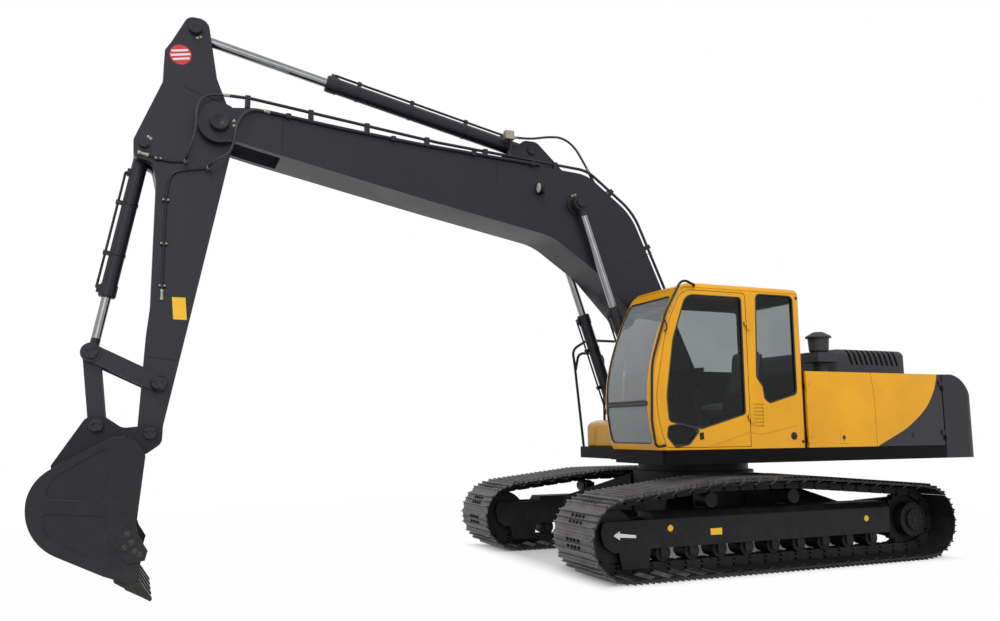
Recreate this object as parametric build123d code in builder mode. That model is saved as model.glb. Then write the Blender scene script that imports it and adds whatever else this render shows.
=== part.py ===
from build123d import *
import os
from math import atan2, cos, hypot, pi, sin, tan

# Full-size crawler excavator, millimetres.
# X runs forward, Y to the cab side, Z up, with the origin on the ground under the slewing axis.

# Tracks: heights are measured outwards from the line of the chain's pins
GAUGE = 2584
SHOE_W = 800
SHOES = 49
IDLER_X = 1928
SPROCKET_X = -1900
TRACK_R = 405
GROUSER_TIP = 95
PLATE_TOP = 69
PLATE_UNDER = 55
LINK_DOWN = 50
LINK_W = 46
LINK_GAP = 96
CARRIER_X = (760, -290)
CARRIER_Z = 712
CARRIER_R = 80
ROLLER_R = 84
ROLLER_W = 205
ROLLER_COUNT = 9
ROLLER_PITCH = 336
ROLLER_MID_X = 15
RUN_CLEAR = 1.2
SAG_CLEAR = 5.3
SEAT_CLEAR = 0.3

# Track frames
FRAME_Y0 = 1140
FRAME_Y1 = 1445
FRAME_Z0 = 285
FRAME_SIDE_Z = 555
FRAME_TOP_Z = 612
FRAME_REAR_X = -1560
FRAME_BOX_X = 1480
FRAME_WALL = 25
IDLER_AXLE_R = 45
DRIVE_HOUSING_R = 195
DRIVE_COVER_R = 185

# Car body and slewing ring
HUB_Z0 = 460
HUB_R = 700
HUB_WELL_R = 560
RING_R = 640
RING_BORE_R = 530
RING_Z0 = 948
RING_Z1 = 1040

# Widths of the boom, arm and bucket, which the upper structure follows
BOOM_W = 560
BOOM_PLATE = 16
FOOT_PIN_R = 62
ARM_PIN_R = 62
ARM_W = 380
ARM_PLATE = 14
ARM_GAP = 6
ARM_EYE_SLOT = 80
ARM_CYL_EAR_Y = 88
LINKAGE_PIN_R = 45
PIN_CLEAR = 1
BUCKET_W = 1200
BUCKET_SHEET = 28
EAR_T = 50
EAR_Y = ARM_W / 2 + 60
LIFT_Y = BOOM_W / 2 + 82
LIFT_EYE_W = 90
LIFT_EAR_T = 30
LIFT_GAP = 8

# Upper structure
SIDE_Y = 1405
DECK_Z0 = 1068
DECK_Z1 = 1208
DECK_PLATE = 20
DECK_FRONT_X = 1300
DECK_RIGHT_X = 780
DECK_MID_X = 860
CENTRE_PLATE_Y = BOOM_W / 2 + 55
CENTRE_PLATE_T = 50
PANEL_TOP = 2035
PANEL_T = 30
SEAM = 6
CAB_REAR_X = -500
DOOR_FRONT_X = -520
DOOR_SPLIT_X = -1487
DOOR_REAR_X = -2540
CW_FRONT_X = -2560
CW_REAR_X = -3150
TOP_PLATE = 25
TANK_TOP = 2120
TANK_Y = -660
TANK_WALL = 20
TOOL_TOP = 1545
HOOD_Y = 750
HOOD_TOP = 2372
HOOD_FRONT_X = -1600
HOOD_REAR_X = -2760
HOOD_WALL = 14
PRECLEANER = (-1300, 790)
EXHAUST = (-2455, -960)
RAIL_R = 17

HINGE_R = 12
HINGE_RISE = 14
HINGE_Y = SIDE_Y + HINGE_RISE
POST_Y = SIDE_Y - PANEL_T - SEAM
KNUCKLE_H = 60
HOOD_HINGE = (HOOD_REAR_X - 14, PANEL_TOP + 14)
HOOD_HINGE_YS = (-500, 500)

# Cab
CAB_Y0 = LIFT_Y + LIFT_EYE_W / 2 + LIFT_GAP + LIFT_EAR_T + 7
CAB_Z0 = DECK_Z1 + SEAM
CAB_WALL = 52
ROOF_Z = 2932
ROOF_SPLIT_Z = 2872
CAB_EDGE_R = 66
CAB_MOUNT_XS = (CAB_REAR_X + 120, 1200)
CAB_MOUNT_YS = (CAB_Y0 + 120, SIDE_Y - 120)
GLASS_IN = 14
GLASS_T = 8
DOOR_EDGE_X = 251

# Pins of the boom, arm and bucket, in the pose of the photograph
FOOT = (132, 1785)
LIFT_BASE = (750, 1350)
LIFT_PIN = (1650, 3950)
ARM_CYL_BASE = (2125, 4580)
ARM_PIN = (5530, 4400)
ARM_TOP = (5780, 5350)
BUCKET_CYL_BASE = (6190, 4130)
IDLE_PIN = (5970, 1870)
BUCKET_PIN = (6020, 1420)
LINK_PIN = (6540, 2140)
HOOK_PIN = (6460, 1490)

HOSE_R = 13
PIPE_R = 16
PORT_R = 24
PORT_H = 24

CHAIN_IN = GROUSER_TIP + LINK_DOWN
CHAIN_R = TRACK_R - CHAIN_IN


def side(y):
    """Plane facing the left side at the place y, with X to the front and Z up."""
    return Plane.XZ.offset(-y)


def plate(plane, corners, depth, mode=Mode.ADD, grow=0, holes=()):
    """Plate on a plane from rows of (u, v, corner radius), with holes as rows of (u, v, radius)."""
    with BuildSketch(plane) as face:
        with BuildLine():
            FilletPolyline(*[row[:2] for row in corners], radius=[row[2] for row in corners], close=True)
        make_face()
        if grow:
            offset(amount=grow, kind=Kind.INTERSECTION)
        for u, v, radius in holes:
            with Locations((u, v)):
                Circle(radius, mode=Mode.SUBTRACT)
    extrude(face.sketch, amount=depth, mode=mode)


def disc(centre, radius, y, depth, mode=Mode.ADD):
    """Round piece along Y from y down to y - depth, centred on an (x, z) pair."""
    with BuildSketch(side(y)) as face:
        with Locations(centre):
            Circle(radius)
    extrude(face.sketch, amount=depth, mode=mode)


def block(x0, x1, y0, y1, z0, z1, mode=Mode.ADD):
    """Box between two corners."""
    with Locations(((x0 + x1) / 2, (y0 + y1) / 2, (z0 + z1) / 2)):
        Box(abs(x1 - x0), abs(y1 - y0), abs(z1 - z0), mode=mode)


def square(corners, radius=0):
    """The same corner radius for every (u, v) corner."""
    return [(u, v, radius) for u, v in corners]


def track_runs():
    """Straight runs of the pin line between idler, carrier rollers and sprocket."""
    circles = (
        (IDLER_X, TRACK_R, TRACK_R - GROUSER_TIP),
        (CARRIER_X[0], CARRIER_Z, CARRIER_R + LINK_DOWN),
        (CARRIER_X[1], CARRIER_Z, CARRIER_R + LINK_DOWN),
        (SPROCKET_X, TRACK_R, TRACK_R - GROUSER_TIP),
    )
    runs = []
    for i, (x0, z0, r0) in enumerate(circles):
        x1, z1, r1 = circles[(i + 1) % 4]
        heading = atan2(z1 - z0, x1 - x0)
        lean = (r1 - r0) / hypot(x1 - x0, z1 - z0)
        normal = heading - pi / 2 - lean
        start = (x0 + r0 * cos(normal), z0 + r0 * sin(normal))
        end = (x1 + r1 * cos(normal), z1 + r1 * sin(normal))
        runs.append((start, end, normal, (x1, z1), r1))
    return runs


def pin_places():
    """The chain's pins, evenly spaced along the pin line."""
    runs = track_runs()
    turns = [(runs[(i + 1) % 4][2] - run[2]) % (2 * pi) for i, run in enumerate(runs)]
    lengths = [hypot(run[1][0] - run[0][0], run[1][1] - run[0][1]) for run in runs]
    total = sum(lengths) + sum(run[4] * turn for run, turn in zip(runs, turns))
    places = []
    for k in range(SHOES):
        s = k * total / SHOES
        for (start, end, normal, centre, radius), turn, length in zip(runs, turns, lengths):
            if s <= length:
                share = s / length
                run_x, run_z = end[0] - start[0], end[1] - start[1]
                places.append((start[0] + run_x * share, start[1] + run_z * share))
                break
            s -= length
            if s <= radius * turn:
                angle = normal + s / radius
                places.append((centre[0] + radius * cos(angle), centre[1] + radius * sin(angle)))
                break
            s -= radius * turn
    return places


def track_line(table):
    """Closed outline that repeats rows of (share of a shoe, height over the pin line) on flat shoes."""
    pins = pin_places()
    points = []
    for k, (x0, z0) in enumerate(pins):
        x1, z1 = pins[(k + 1) % SHOES]
        xp, zp = pins[k - 1]
        angle = atan2(z1 - z0, x1 - x0) - pi / 2
        before = atan2(z0 - zp, x0 - xp) - pi / 2
        middle = before + ((angle - before + pi) % (2 * pi) - pi) / 2
        for share, height in table:
            lean = middle if share == 0 else angle
            x = x0 + (x1 - x0) * share + height * cos(lean)
            z = z0 + (z1 - z0) * share + height * sin(lean)
            points.append((x, z))
    return points


os.makedirs("parts", exist_ok=True)

# Left track: one fixed loop of flat shoes with three grousers each, and the two rows of links inside it
SHOE_ROWS = (
    # share of the shoe, height over the pin line
    (0.00, PLATE_TOP - 10),
    (0.13, PLATE_TOP),
    (0.17, GROUSER_TIP),
    (0.22, PLATE_TOP),
    (0.46, PLATE_TOP),
    (0.50, GROUSER_TIP),
    (0.55, PLATE_TOP),
    (0.79, PLATE_TOP),
    (0.83, GROUSER_TIP),
    (0.88, PLATE_TOP),
)
with BuildPart() as track_left:
    with BuildSketch(side(GAUGE / 2 + SHOE_W / 2)):
        with BuildLine():
            Polyline(*track_line(SHOE_ROWS), close=True)
        make_face()
        with BuildLine():
            Polyline(*track_line(((0, PLATE_UNDER),)), close=True)
        make_face(mode=Mode.SUBTRACT)
    extrude(amount=SHOE_W)
    for y in (GAUGE / 2 + LINK_GAP / 2 + LINK_W, GAUGE / 2 - LINK_GAP / 2):
        with BuildSketch(side(y)):
            with BuildLine():
                Polyline(*track_line(((0, PLATE_UNDER + 1),)), close=True)
            make_face()
            with BuildLine():
                Polyline(*track_line(((0, -LINK_DOWN),)), close=True)
            make_face(mode=Mode.SUBTRACT)
        extrude(amount=LINK_W)

with BuildPart() as track_right:
    add(track_left.part.mirror(Plane.XZ))

# Front idlers: rim on the links, guide flange between them, axle in the fork of the track frame
SHOE_PITCH = hypot(pin_places()[1][0] - pin_places()[0][0], pin_places()[1][1] - pin_places()[0][1])
HALF_TURN = SHOE_PITCH / 2 / (TRACK_R - GROUSER_TIP)
IDLER_R = CHAIN_R * cos(HALF_TURN) - RUN_CLEAR
IDLER = (IDLER_X, TRACK_R)
with BuildPart() as front_idlers:
    disc(IDLER, IDLER_R, GAUGE / 2 + LINK_GAP / 2 + LINK_W - 8, LINK_GAP + 2 * LINK_W - 16)
    disc(IDLER, IDLER_R + 30, GAUGE / 2 + LINK_GAP / 2 - RUN_CLEAR, LINK_GAP - 2 * RUN_CLEAR)
    disc(IDLER, IDLER_AXLE_R, FRAME_Y1 - 5, FRAME_Y1 - FRAME_Y0 - 10)
    mirror(about=Plane.XZ)

# Final drives: toothed sprocket between the links, cover outside and motor housing inside it
SPROCKET = (SPROCKET_X, TRACK_R)
TEETH = 21
with BuildPart() as final_drives:
    with BuildSketch(side(GAUGE / 2 + LINK_GAP / 2 - 10)):
        with BuildLine():
            Polyline(
                *[(SPROCKET_X + (CHAIN_R + rise) * cos(2 * pi * (k + share) / TEETH),
                   TRACK_R + (CHAIN_R + rise) * sin(2 * pi * (k + share) / TEETH))
                  for k in range(TEETH) for share, rise in ((0, 2), (0.35, 40), (0.65, 40))],
                close=True,
            )
        make_face()
    extrude(amount=LINK_GAP - 20)
    disc(SPROCKET, DRIVE_COVER_R, GAUGE / 2 + 160, 160)
    disc(SPROCKET, DRIVE_COVER_R - 70, GAUGE / 2 + 190, 60)
    disc(SPROCKET, DRIVE_HOUSING_R, GAUGE / 2, 300)
    mirror(about=Plane.XZ)

ROLLER_Z = CHAIN_IN + ROLLER_R + RUN_CLEAR
ROLLER_XS = [ROLLER_MID_X + (k - (ROLLER_COUNT - 1) / 2) * ROLLER_PITCH for k in range(ROLLER_COUNT)]
with BuildPart() as track_rollers:
    for x in ROLLER_XS:
        disc((x, ROLLER_Z), ROLLER_R, GAUGE / 2 + ROLLER_W / 2, ROLLER_W)
    mirror(about=Plane.XZ)

# Carrier rollers on brackets that stand on the track frames
CARRIER_HALF = 95
with BuildPart() as carrier_rollers:
    for x in CARRIER_X:
        disc((x, CARRIER_Z), CARRIER_R - SAG_CLEAR, GAUGE / 2 + CARRIER_HALF, 2 * CARRIER_HALF)
        disc((x, CARRIER_Z), 36, GAUGE / 2 - CARRIER_HALF, 30)
        block(x - 55, x + 55, GAUGE / 2 - 147, GAUGE / 2 - 107, FRAME_TOP_Z, CARRIER_Z + 50)
    mirror(about=Plane.XZ)

# Left track frame: bevelled box over the rollers, idler fork in front, drive bracket behind
ROLLER_EAR_Y = (GAUGE / 2 + ROLLER_W / 2 + SEAT_CLEAR + FRAME_WALL, GAUGE / 2 - ROLLER_W / 2 - SEAT_CLEAR)
FRAME_FLOOR = ROLLER_Z + ROLLER_R + 10
with BuildPart() as track_frame_left:
    plate(Plane.YZ.offset(FRAME_REAR_X), square((
        (FRAME_Y0, FRAME_Z0), (FRAME_Y0 + FRAME_WALL, FRAME_Z0), (FRAME_Y0 + FRAME_WALL, FRAME_FLOOR),
        (FRAME_Y1 - FRAME_WALL, FRAME_FLOOR), (FRAME_Y1 - FRAME_WALL, FRAME_Z0), (FRAME_Y1, FRAME_Z0),
        (FRAME_Y1, FRAME_SIDE_Z), (FRAME_Y1 - 75, FRAME_TOP_Z), (FRAME_Y0, FRAME_TOP_Z),
    )), FRAME_BOX_X - FRAME_REAR_X)
    plate(Plane.YZ.offset(FRAME_REAR_X + FRAME_WALL), square((
        (FRAME_Y0, FRAME_FLOOR), (FRAME_Y1, FRAME_FLOOR), (FRAME_Y1, FRAME_SIDE_Z),
        (FRAME_Y1 - 75, FRAME_TOP_Z), (FRAME_Y0, FRAME_TOP_Z),
    )), FRAME_BOX_X - FRAME_REAR_X - 2 * FRAME_WALL, mode=Mode.SUBTRACT, grow=-FRAME_WALL)
    for y in (FRAME_Y1, FRAME_Y0 + FRAME_WALL):
        plate(side(y), (
            (FRAME_BOX_X - 60, FRAME_Z0, 0), (1530, FRAME_Z0, 0), (1560, 105, 0), (1850, 105, 0),
            (1880, 262, 0), (1950, 270, 60), (2040, 330, 60), (2075, 450, 60), (2050, FRAME_SIDE_Z, 40),
            (FRAME_BOX_X - 60, FRAME_SIDE_Z, 0),
        ), FRAME_WALL, holes=((*IDLER, IDLER_AXLE_R + PIN_CLEAR),))
    for y in ROLLER_EAR_Y:
        for x in ROLLER_XS:
            plate(side(y), square((
                (x - 52, FRAME_FLOOR), (x + 52, FRAME_FLOOR),
                (x + 34, ROLLER_Z - 42), (x - 34, ROLLER_Z - 42),
            )), FRAME_WALL)
    plate(side(FRAME_Y0 + 40), (
        (FRAME_REAR_X + 160, FRAME_Z0, 0), (FRAME_REAR_X + 160, FRAME_TOP_Z, 0),
        (SPROCKET_X, FRAME_TOP_Z + 20, 120),
        (SPROCKET_X - 230, 560, 120), (SPROCKET_X - 230, 230, 120), (SPROCKET_X, 175, 120),
    ), 80, holes=((*SPROCKET, DRIVE_HOUSING_R + SEAT_CLEAR),))

with BuildPart() as track_frame_right:
    add(track_frame_left.part.mirror(Plane.XZ))

# Car body: round hub under the slewing ring and four tapered legs to the track frames
LEG_ROWS = (
    # y, middle x, width, underside z, top z
    (440, 330, 520, HUB_Z0, 900),
    (FRAME_Y0, 940, 440, HUB_Z0 + 10, FRAME_TOP_Z - 12),
)
with BuildPart() as car_body:
    with BuildSketch(Plane.XY.offset(HUB_Z0)):
        Circle(HUB_R)
    extrude(amount=RING_Z0 - HUB_Z0)
    for x_sign in (1, -1):
        for y_sign in (1, -1):
            for y, x, width, z0, z1 in LEG_ROWS:
                with BuildSketch(side(y_sign * y)):
                    with Locations((x_sign * x, (z0 + z1) / 2)):
                        Rectangle(width, z1 - z0)
            loft()
    with BuildSketch(Plane.XY.offset(HUB_Z0 + FRAME_WALL)):
        Circle(HUB_WELL_R)
    extrude(amount=RING_Z0 - HUB_Z0, mode=Mode.SUBTRACT)

with BuildPart() as slew_ring:
    with BuildSketch(Plane.XY.offset(RING_Z0)):
        Circle(RING_R)
        Circle(RING_BORE_R, mode=Mode.SUBTRACT)
    extrude(amount=RING_Z1 - RING_Z0)

# Swing frame: deck with pockets under it, ring seat, and centre plates that carry boom and lift cylinders
POCKETS = (
    # x from, x to, y from, y to
    (CW_FRONT_X + 40, -1500, 430, SIDE_Y - 30),
    (-1450, -700, 430, SIDE_Y - 30),
    (-650, DECK_FRONT_X - 30, 690, SIDE_Y - 30),
    (CW_FRONT_X + 40, -1500, -430, -SIDE_Y + 30),
    (-1450, -700, -430, -SIDE_Y + 30),
    (-650, DECK_RIGHT_X - 30, -690, -SIDE_Y + 30),
)
LIFT_EAR_ROWS = (LIFT_Y - LIFT_EYE_W / 2 - LIFT_GAP, LIFT_Y + LIFT_EYE_W / 2 + LIFT_GAP + LIFT_EAR_T)
with BuildPart() as swing_frame:
    plate(Plane.XY.offset(DECK_Z0), (
        (DECK_FRONT_X, SIDE_Y, 60), (DECK_FRONT_X, CAB_Y0 - 20, 0), (DECK_MID_X, CAB_Y0 - 20, 0),
        (DECK_MID_X, -CAB_Y0 + 20, 0), (DECK_RIGHT_X, -CAB_Y0 + 20, 0), (DECK_RIGHT_X, -SIDE_Y, 60),
        (CW_FRONT_X + SEAM, -SIDE_Y, 0), (CW_FRONT_X + SEAM, SIDE_Y, 0),
    ), DECK_Z1 - DECK_Z0)
    for x0, x1, y0, y1 in POCKETS:
        block(x0, x1, y0, y1, DECK_Z0, DECK_Z1 - DECK_PLATE, mode=Mode.SUBTRACT)
    with BuildSketch(Plane.XY.offset(RING_Z1 + SEAT_CLEAR)):
        Circle(RING_R - 10)
    extrude(amount=DECK_Z0 - RING_Z1 + 20)
    with BuildSketch(Plane.XY.offset(RING_Z1 + SEAT_CLEAR)):
        Circle(RING_BORE_R - 10)
    extrude(amount=DECK_Z1 - DECK_PLATE - RING_Z1, mode=Mode.SUBTRACT)
    for y in (CENTRE_PLATE_Y + CENTRE_PLATE_T, -CENTRE_PLATE_Y):
        plate(side(y), (
            (-1000, DECK_Z1 - 10, 0), (-60, 1880, 140), (FOOT[0], FOOT[1] + 170, 120),
            (FOOT[0] + 190, FOOT[1] + 60, 140), (560, 1480, 60), (560, DECK_Z1 - 10, 0),
        ), CENTRE_PLATE_T, holes=((*FOOT, FOOT_PIN_R + PIN_CLEAR),))
    for sign in (1, -1):
        for y in LIFT_EAR_ROWS:
            plate(side(sign * y if sign > 0 else sign * y + LIFT_EAR_T), (
                (540, DECK_Z1 - 10, 0), (640, LIFT_BASE[1] + 84, 60),
                (LIFT_BASE[0] + 84, LIFT_BASE[1] + 84, 82),
                (LIFT_BASE[0] + 84, DECK_Z1 - 10, 0),
            ), LIFT_EAR_T)
        disc(LIFT_BASE, 40, sign * LIFT_Y + 80, 160)
        block(CW_FRONT_X, CW_FRONT_X + 30, sign * 150, sign * 400, DECK_Z0, DECK_Z1)
    with Locations(*[(x, y, DECK_Z1 + SEAM / 2) for x in CAB_MOUNT_XS for y in CAB_MOUNT_YS]):
        Cylinder(50, SEAM)

# Counterweight: side profile met by a plan with rounded rear corners, bevelled along its top
CW_SIDE = (
    # x, z, corner radius
    (CW_FRONT_X, DECK_Z0, 0),
    (CW_FRONT_X, PANEL_TOP, 0),
    (-2830, PANEL_TOP + 8, 330),
    (CW_REAR_X, 1640, 420),
    (CW_REAR_X, DECK_Z0, 90),
)
CW_PLAN = (
    # x, y, corner radius
    (CW_FRONT_X, -SIDE_Y, 0),
    (CW_REAR_X + 70, -SIDE_Y, 150),
    (CW_REAR_X, -430, 900),
    (CW_REAR_X, 430, 900),
    (CW_REAR_X + 70, SIDE_Y, 150),
    (CW_FRONT_X, SIDE_Y, 0),
)
with BuildPart() as counterweight:
    plate(side(SIDE_Y), CW_SIDE, 2 * SIDE_Y)
    plate(Plane.XY, CW_PLAN, PANEL_TOP + 100, mode=Mode.INTERSECT)
    for y in HOOD_HINGE_YS:
        disc(HOOD_HINGE, HINGE_R, y - SEAT_CLEAR, KNUCKLE_H)
        block(HOOD_HINGE[0] - 5, HOOD_HINGE[0] + 5, y - SEAT_CLEAR - KNUCKLE_H, y - SEAT_CLEAR,
              PANEL_TOP - 30, HOOD_HINGE[1])

# Engine as one plain block on its mounts
ENGINE_X = (-2370, -1730)
with BuildPart() as engine_block:
    block(*ENGINE_X, -690, 450, 1300, 2000)
    block(ENGINE_X[0] + 80, ENGINE_X[1] - 80, -500, 260, DECK_Z1, 1300)


# Hinges of the three house doors: rows of (hinge x, side, way to the door from the hinge)
DOOR_HINGES = {
    "left_front_door": (DOOR_FRONT_X + SEAM, 1, -1),
    "left_rear_door": (DOOR_REAR_X - SEAM, 1, 1),
    "pump_door": (DOOR_REAR_X - SEAM, -1, 1),
}
KNUCKLE_ZS = (1330, 1900)


def knuckles(name, own):
    """Knuckles of a house door: the door's own ones, or the fixed ones with straps through the seam."""
    x, sign, way = DOOR_HINGES[name]
    for z in KNUCKLE_ZS:
        z0 = z if own else z - KNUCKLE_H - SEAT_CLEAR
        with Locations((x, sign * HINGE_Y, z0 + KNUCKLE_H / 2)):
            Cylinder(HINGE_R, KNUCKLE_H)
        if own:
            block(x, x + way * 50, sign * SIDE_Y, sign * HINGE_Y, z0, z0 + KNUCKLE_H)
        else:
            block(x - 3, x + 3, sign * (POST_Y - 10), sign * HINGE_Y, z0, z0 + KNUCKLE_H)


# House: bulkhead behind the cab, top plate with the hood's opening, posts beside the doors
with BuildPart() as house_frame:
    block(CAB_REAR_X - SEAM - 24, CAB_REAR_X - SEAM, TANK_Y + SEAM, POST_Y, DECK_Z1, PANEL_TOP)
    for sign in (1, -1):
        block(CAB_REAR_X - 40, CAB_REAR_X, sign * (CENTRE_PLATE_Y - SEAM),
              sign * (CENTRE_PLATE_Y + CENTRE_PLATE_T + SEAM), DECK_Z1 - 1, 1600, mode=Mode.SUBTRACT)
    block(CAB_REAR_X - SEAM - 24, -1480, TANK_Y + SEAM, POST_Y, PANEL_TOP - TOP_PLATE, PANEL_TOP)
    block(-1480, CW_FRONT_X + SEAM, -POST_Y, POST_Y, PANEL_TOP - TOP_PLATE, PANEL_TOP)
    block(HOOD_FRONT_X - 60, CW_FRONT_X + 60, -HOOD_Y + 60, HOOD_Y - 60,
          PANEL_TOP - TOP_PLATE - 5, PANEL_TOP + 5, mode=Mode.SUBTRACT)
    block(DOOR_SPLIT_X - 40, DOOR_SPLIT_X + 40, POST_Y - 50, POST_Y, DECK_Z1, PANEL_TOP)
    for sign in (1, -1):
        block(CW_FRONT_X + SEAM, CW_FRONT_X + 70, sign * (POST_Y - 60), sign * POST_Y, DECK_Z1, PANEL_TOP)
    block(-1530, -1476, -POST_Y, -POST_Y + 60, DECK_Z1, PANEL_TOP)
    for name in DOOR_HINGES:
        knuckles(name, False)

# Doors of the house: rows of corners, each as thick as the panel
with BuildPart() as left_front_door:
    plate(side(SIDE_Y), square((
        (DOOR_FRONT_X, CAB_Z0), (DOOR_FRONT_X, PANEL_TOP), (DOOR_SPLIT_X + 40, PANEL_TOP),
        (DOOR_SPLIT_X, 1760), (DOOR_SPLIT_X, CAB_Z0),
    )), PANEL_T)
    knuckles("left_front_door", True)

with BuildPart() as left_rear_door:
    plate(side(SIDE_Y), square((
        (DOOR_REAR_X, CAB_Z0), (DOOR_REAR_X, PANEL_TOP), (DOOR_SPLIT_X + 40 - SEAM, PANEL_TOP),
        (DOOR_SPLIT_X - SEAM, 1760), (DOOR_SPLIT_X - SEAM, CAB_Z0),
    )), PANEL_T)
    knuckles("left_rear_door", True)

with BuildPart() as pump_door:
    plate(side(-SIDE_Y + PANEL_T), square((
        (DOOR_REAR_X, CAB_Z0), (DOOR_REAR_X, PANEL_TOP), (-1460 - SEAM, PANEL_TOP), (-1460 - SEAM, CAB_Z0),
    )), PANEL_T)
    knuckles("pump_door", True)

# Engine hood: thin shell with bevelled edges and slanted slots, hinged on the counterweight
HOOD_Z0 = PANEL_TOP + SEAM
HOOD_SLOTS = 10
with BuildPart() as engine_hood:
    with BuildSketch(Plane.XY.offset(HOOD_Z0)):
        with Locations(((HOOD_FRONT_X + HOOD_REAR_X) / 2, 0)):
            RectangleRounded(HOOD_FRONT_X - HOOD_REAR_X, 2 * HOOD_Y, 110)
    extrude(amount=HOOD_TOP - HOOD_Z0)
    fillet(faces().sort_by(Axis.Z)[-1].edges(), 75)
    offset(amount=-HOOD_WALL, openings=faces().sort_by(Axis.Z)[0])
    for sign in (1, -1):
        for k in range(HOOD_SLOTS):
            x = HOOD_FRONT_X - 190 - 82 * k
            plate(side(sign * HOOD_Y + 60), square((
                (x, HOOD_TOP + 20), (x + 34, HOOD_TOP + 20), (x - 40, HOOD_TOP - 190),
                (x - 74, HOOD_TOP - 190),
            )), 120, mode=Mode.SUBTRACT)
    for y in HOOD_HINGE_YS:
        disc(HOOD_HINGE, HINGE_R, y + KNUCKLE_H, KNUCKLE_H)
        block(HOOD_HINGE[0], HOOD_REAR_X + 5, y, y + KNUCKLE_H, HOOD_HINGE[1], HOOD_HINGE[1] + 10)

# Tanks on the right side, with rounded upright edges and filler caps
CAP_R = 70
TANKS = (
    # x from, x to
    (-1450, -810),
    (-800, 140),
)


def tank(x0, x1):
    """Hollow tank between two places along X, with its filler cap."""
    with BuildSketch(Plane.XY.offset(DECK_Z1)) as foot:
        with Locations(((x0 + x1) / 2, (TANK_Y - SIDE_Y + 5) / 2)):
            RectangleRounded(x1 - x0, SIDE_Y - 5 + TANK_Y, 50)
    extrude(foot.sketch, amount=TANK_TOP - DECK_Z1)
    with BuildSketch(Plane.XY.offset(DECK_Z1 + TANK_WALL)) as inside:
        with Locations(((x0 + x1) / 2, (TANK_Y - SIDE_Y + 5) / 2)):
            Rectangle(x1 - x0 - 2 * TANK_WALL - 30, SIDE_Y - 5 + TANK_Y - 2 * TANK_WALL - 30)
    extrude(inside.sketch, amount=TANK_TOP - DECK_Z1 - 2 * TANK_WALL, mode=Mode.SUBTRACT)
    with Locations(((x0 + x1) / 2, TANK_Y - 200, TANK_TOP + 25)):
        Cylinder(CAP_R, 50)


with BuildPart() as hydraulic_tank:
    tank(*TANKS[0])
with BuildPart() as fuel_tank:
    tank(*TANKS[1])

# Tool box in front of the fuel tank, with a rounded front edge
with BuildPart() as tool_box:
    plate(side(TANK_Y), (
        (TANKS[1][1] + SEAM, DECK_Z1, 0), (660, DECK_Z1, 20), (660, 1500, 90), (520, TOOL_TOP, 60),
        (TANKS[1][1] + SEAM, TOOL_TOP, 0),
    ), SIDE_Y - 25 + TANK_Y)
    plate(side(TANK_Y - 20), square((
        (TANKS[1][1] + 26, DECK_Z1 + 20), (640, DECK_Z1 + 20), (640, 1480), (TANKS[1][1] + 26, TOOL_TOP - 20),
    )), SIDE_Y - 65 + TANK_Y, mode=Mode.SUBTRACT)

# Air precleaner: stem and square base on the house top, round body with a brimmed dome
with BuildPart() as precleaner:
    with BuildSketch(Plane.XZ):
        with BuildLine():
            Polyline(
                (0, PANEL_TOP), (82, PANEL_TOP), (82, 2300), (112, 2330), (122, 2480), (150, 2484),
                (146, 2502), (60, 2552), (0, 2556), close=True,
            )
        make_face()
    revolve(axis=Axis.Z)
    with BuildSketch(Plane.XY.offset(2190)):
        RectangleRounded(300, 300, 30)
    extrude(amount=110)
precleaner.part.position = (*PRECLEANER, 0)

with BuildPart() as exhaust_pipe:
    with Locations((*EXHAUST, PANEL_TOP + 190)):
        Cylinder(58, 380)
        Cylinder(50, 380, mode=Mode.SUBTRACT)
    with Locations((*EXHAUST, PANEL_TOP + 15)):
        Cylinder(85, 30)


HANDRAIL_Y = -1345
with BuildPart() as handrail:
    with BuildLine() as upper:
        FilletPolyline(
            (DECK_RIGHT_X - 40, HANDRAIL_Y, DECK_Z1 + 2), (850, HANDRAIL_Y, 2260), (880, HANDRAIL_Y, 2470),
            (660, HANDRAIL_Y, 2600), (60, HANDRAIL_Y, 2600), (60, HANDRAIL_Y, TANK_TOP),
            radius=[200, 120, 90, 90],
        )
    with BuildSketch(Plane(origin=upper.line @ 0, z_dir=upper.line % 0)):
        Circle(RAIL_R)
    sweep(path=upper.line)
    with BuildLine() as lower:
        FilletPolyline(
            (838, HANDRAIL_Y, 2200), (790, HANDRAIL_Y, 2425), (420, HANDRAIL_Y, 2425),
            (420, HANDRAIL_Y, TOOL_TOP + SEAT_CLEAR),
            radius=[90, 90],
        )
    with BuildSketch(Plane(origin=lower.line @ 0, z_dir=lower.line % 0)):
        Circle(RAIL_R)
    sweep(path=lower.line)

with BuildPart() as cab_grab_rail:
    with BuildLine() as grab:
        FilletPolyline(
            (900, SIDE_Y - 0.5, 2889), (900, SIDE_Y + 32, 2889), (1060, SIDE_Y + 32, 2950),
            (1265, SIDE_Y + 32, 2600),
            (1450, SIDE_Y + 32, 2080), (1470, SIDE_Y + 32, 1500), (1430, SIDE_Y + 32, 1245),
            (1314, SIDE_Y + 32, 1262), (1314, SIDE_Y + SEAT_CLEAR, 1262),
            radius=[25, 90, 500, 800, 600, 50, 25],
        )
    with BuildSketch(Plane(origin=grab.line @ 0, z_dir=grab.line % 0)):
        Circle(13)
    sweep(path=grab.line)

# Cab: hollow form from its side profile with rounded edges, at any inset from the skin
CAB_SIDE = (
    # x, z, corner radius
    (CAB_REAR_X, CAB_Z0, 0),
    (1370, CAB_Z0, 0),
    (1527, 1725, 1600),
    (1266, 2522, 3000),
    (1036, ROOF_Z, 250),
    (CAB_REAR_X, ROOF_Z, 70),
)


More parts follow.
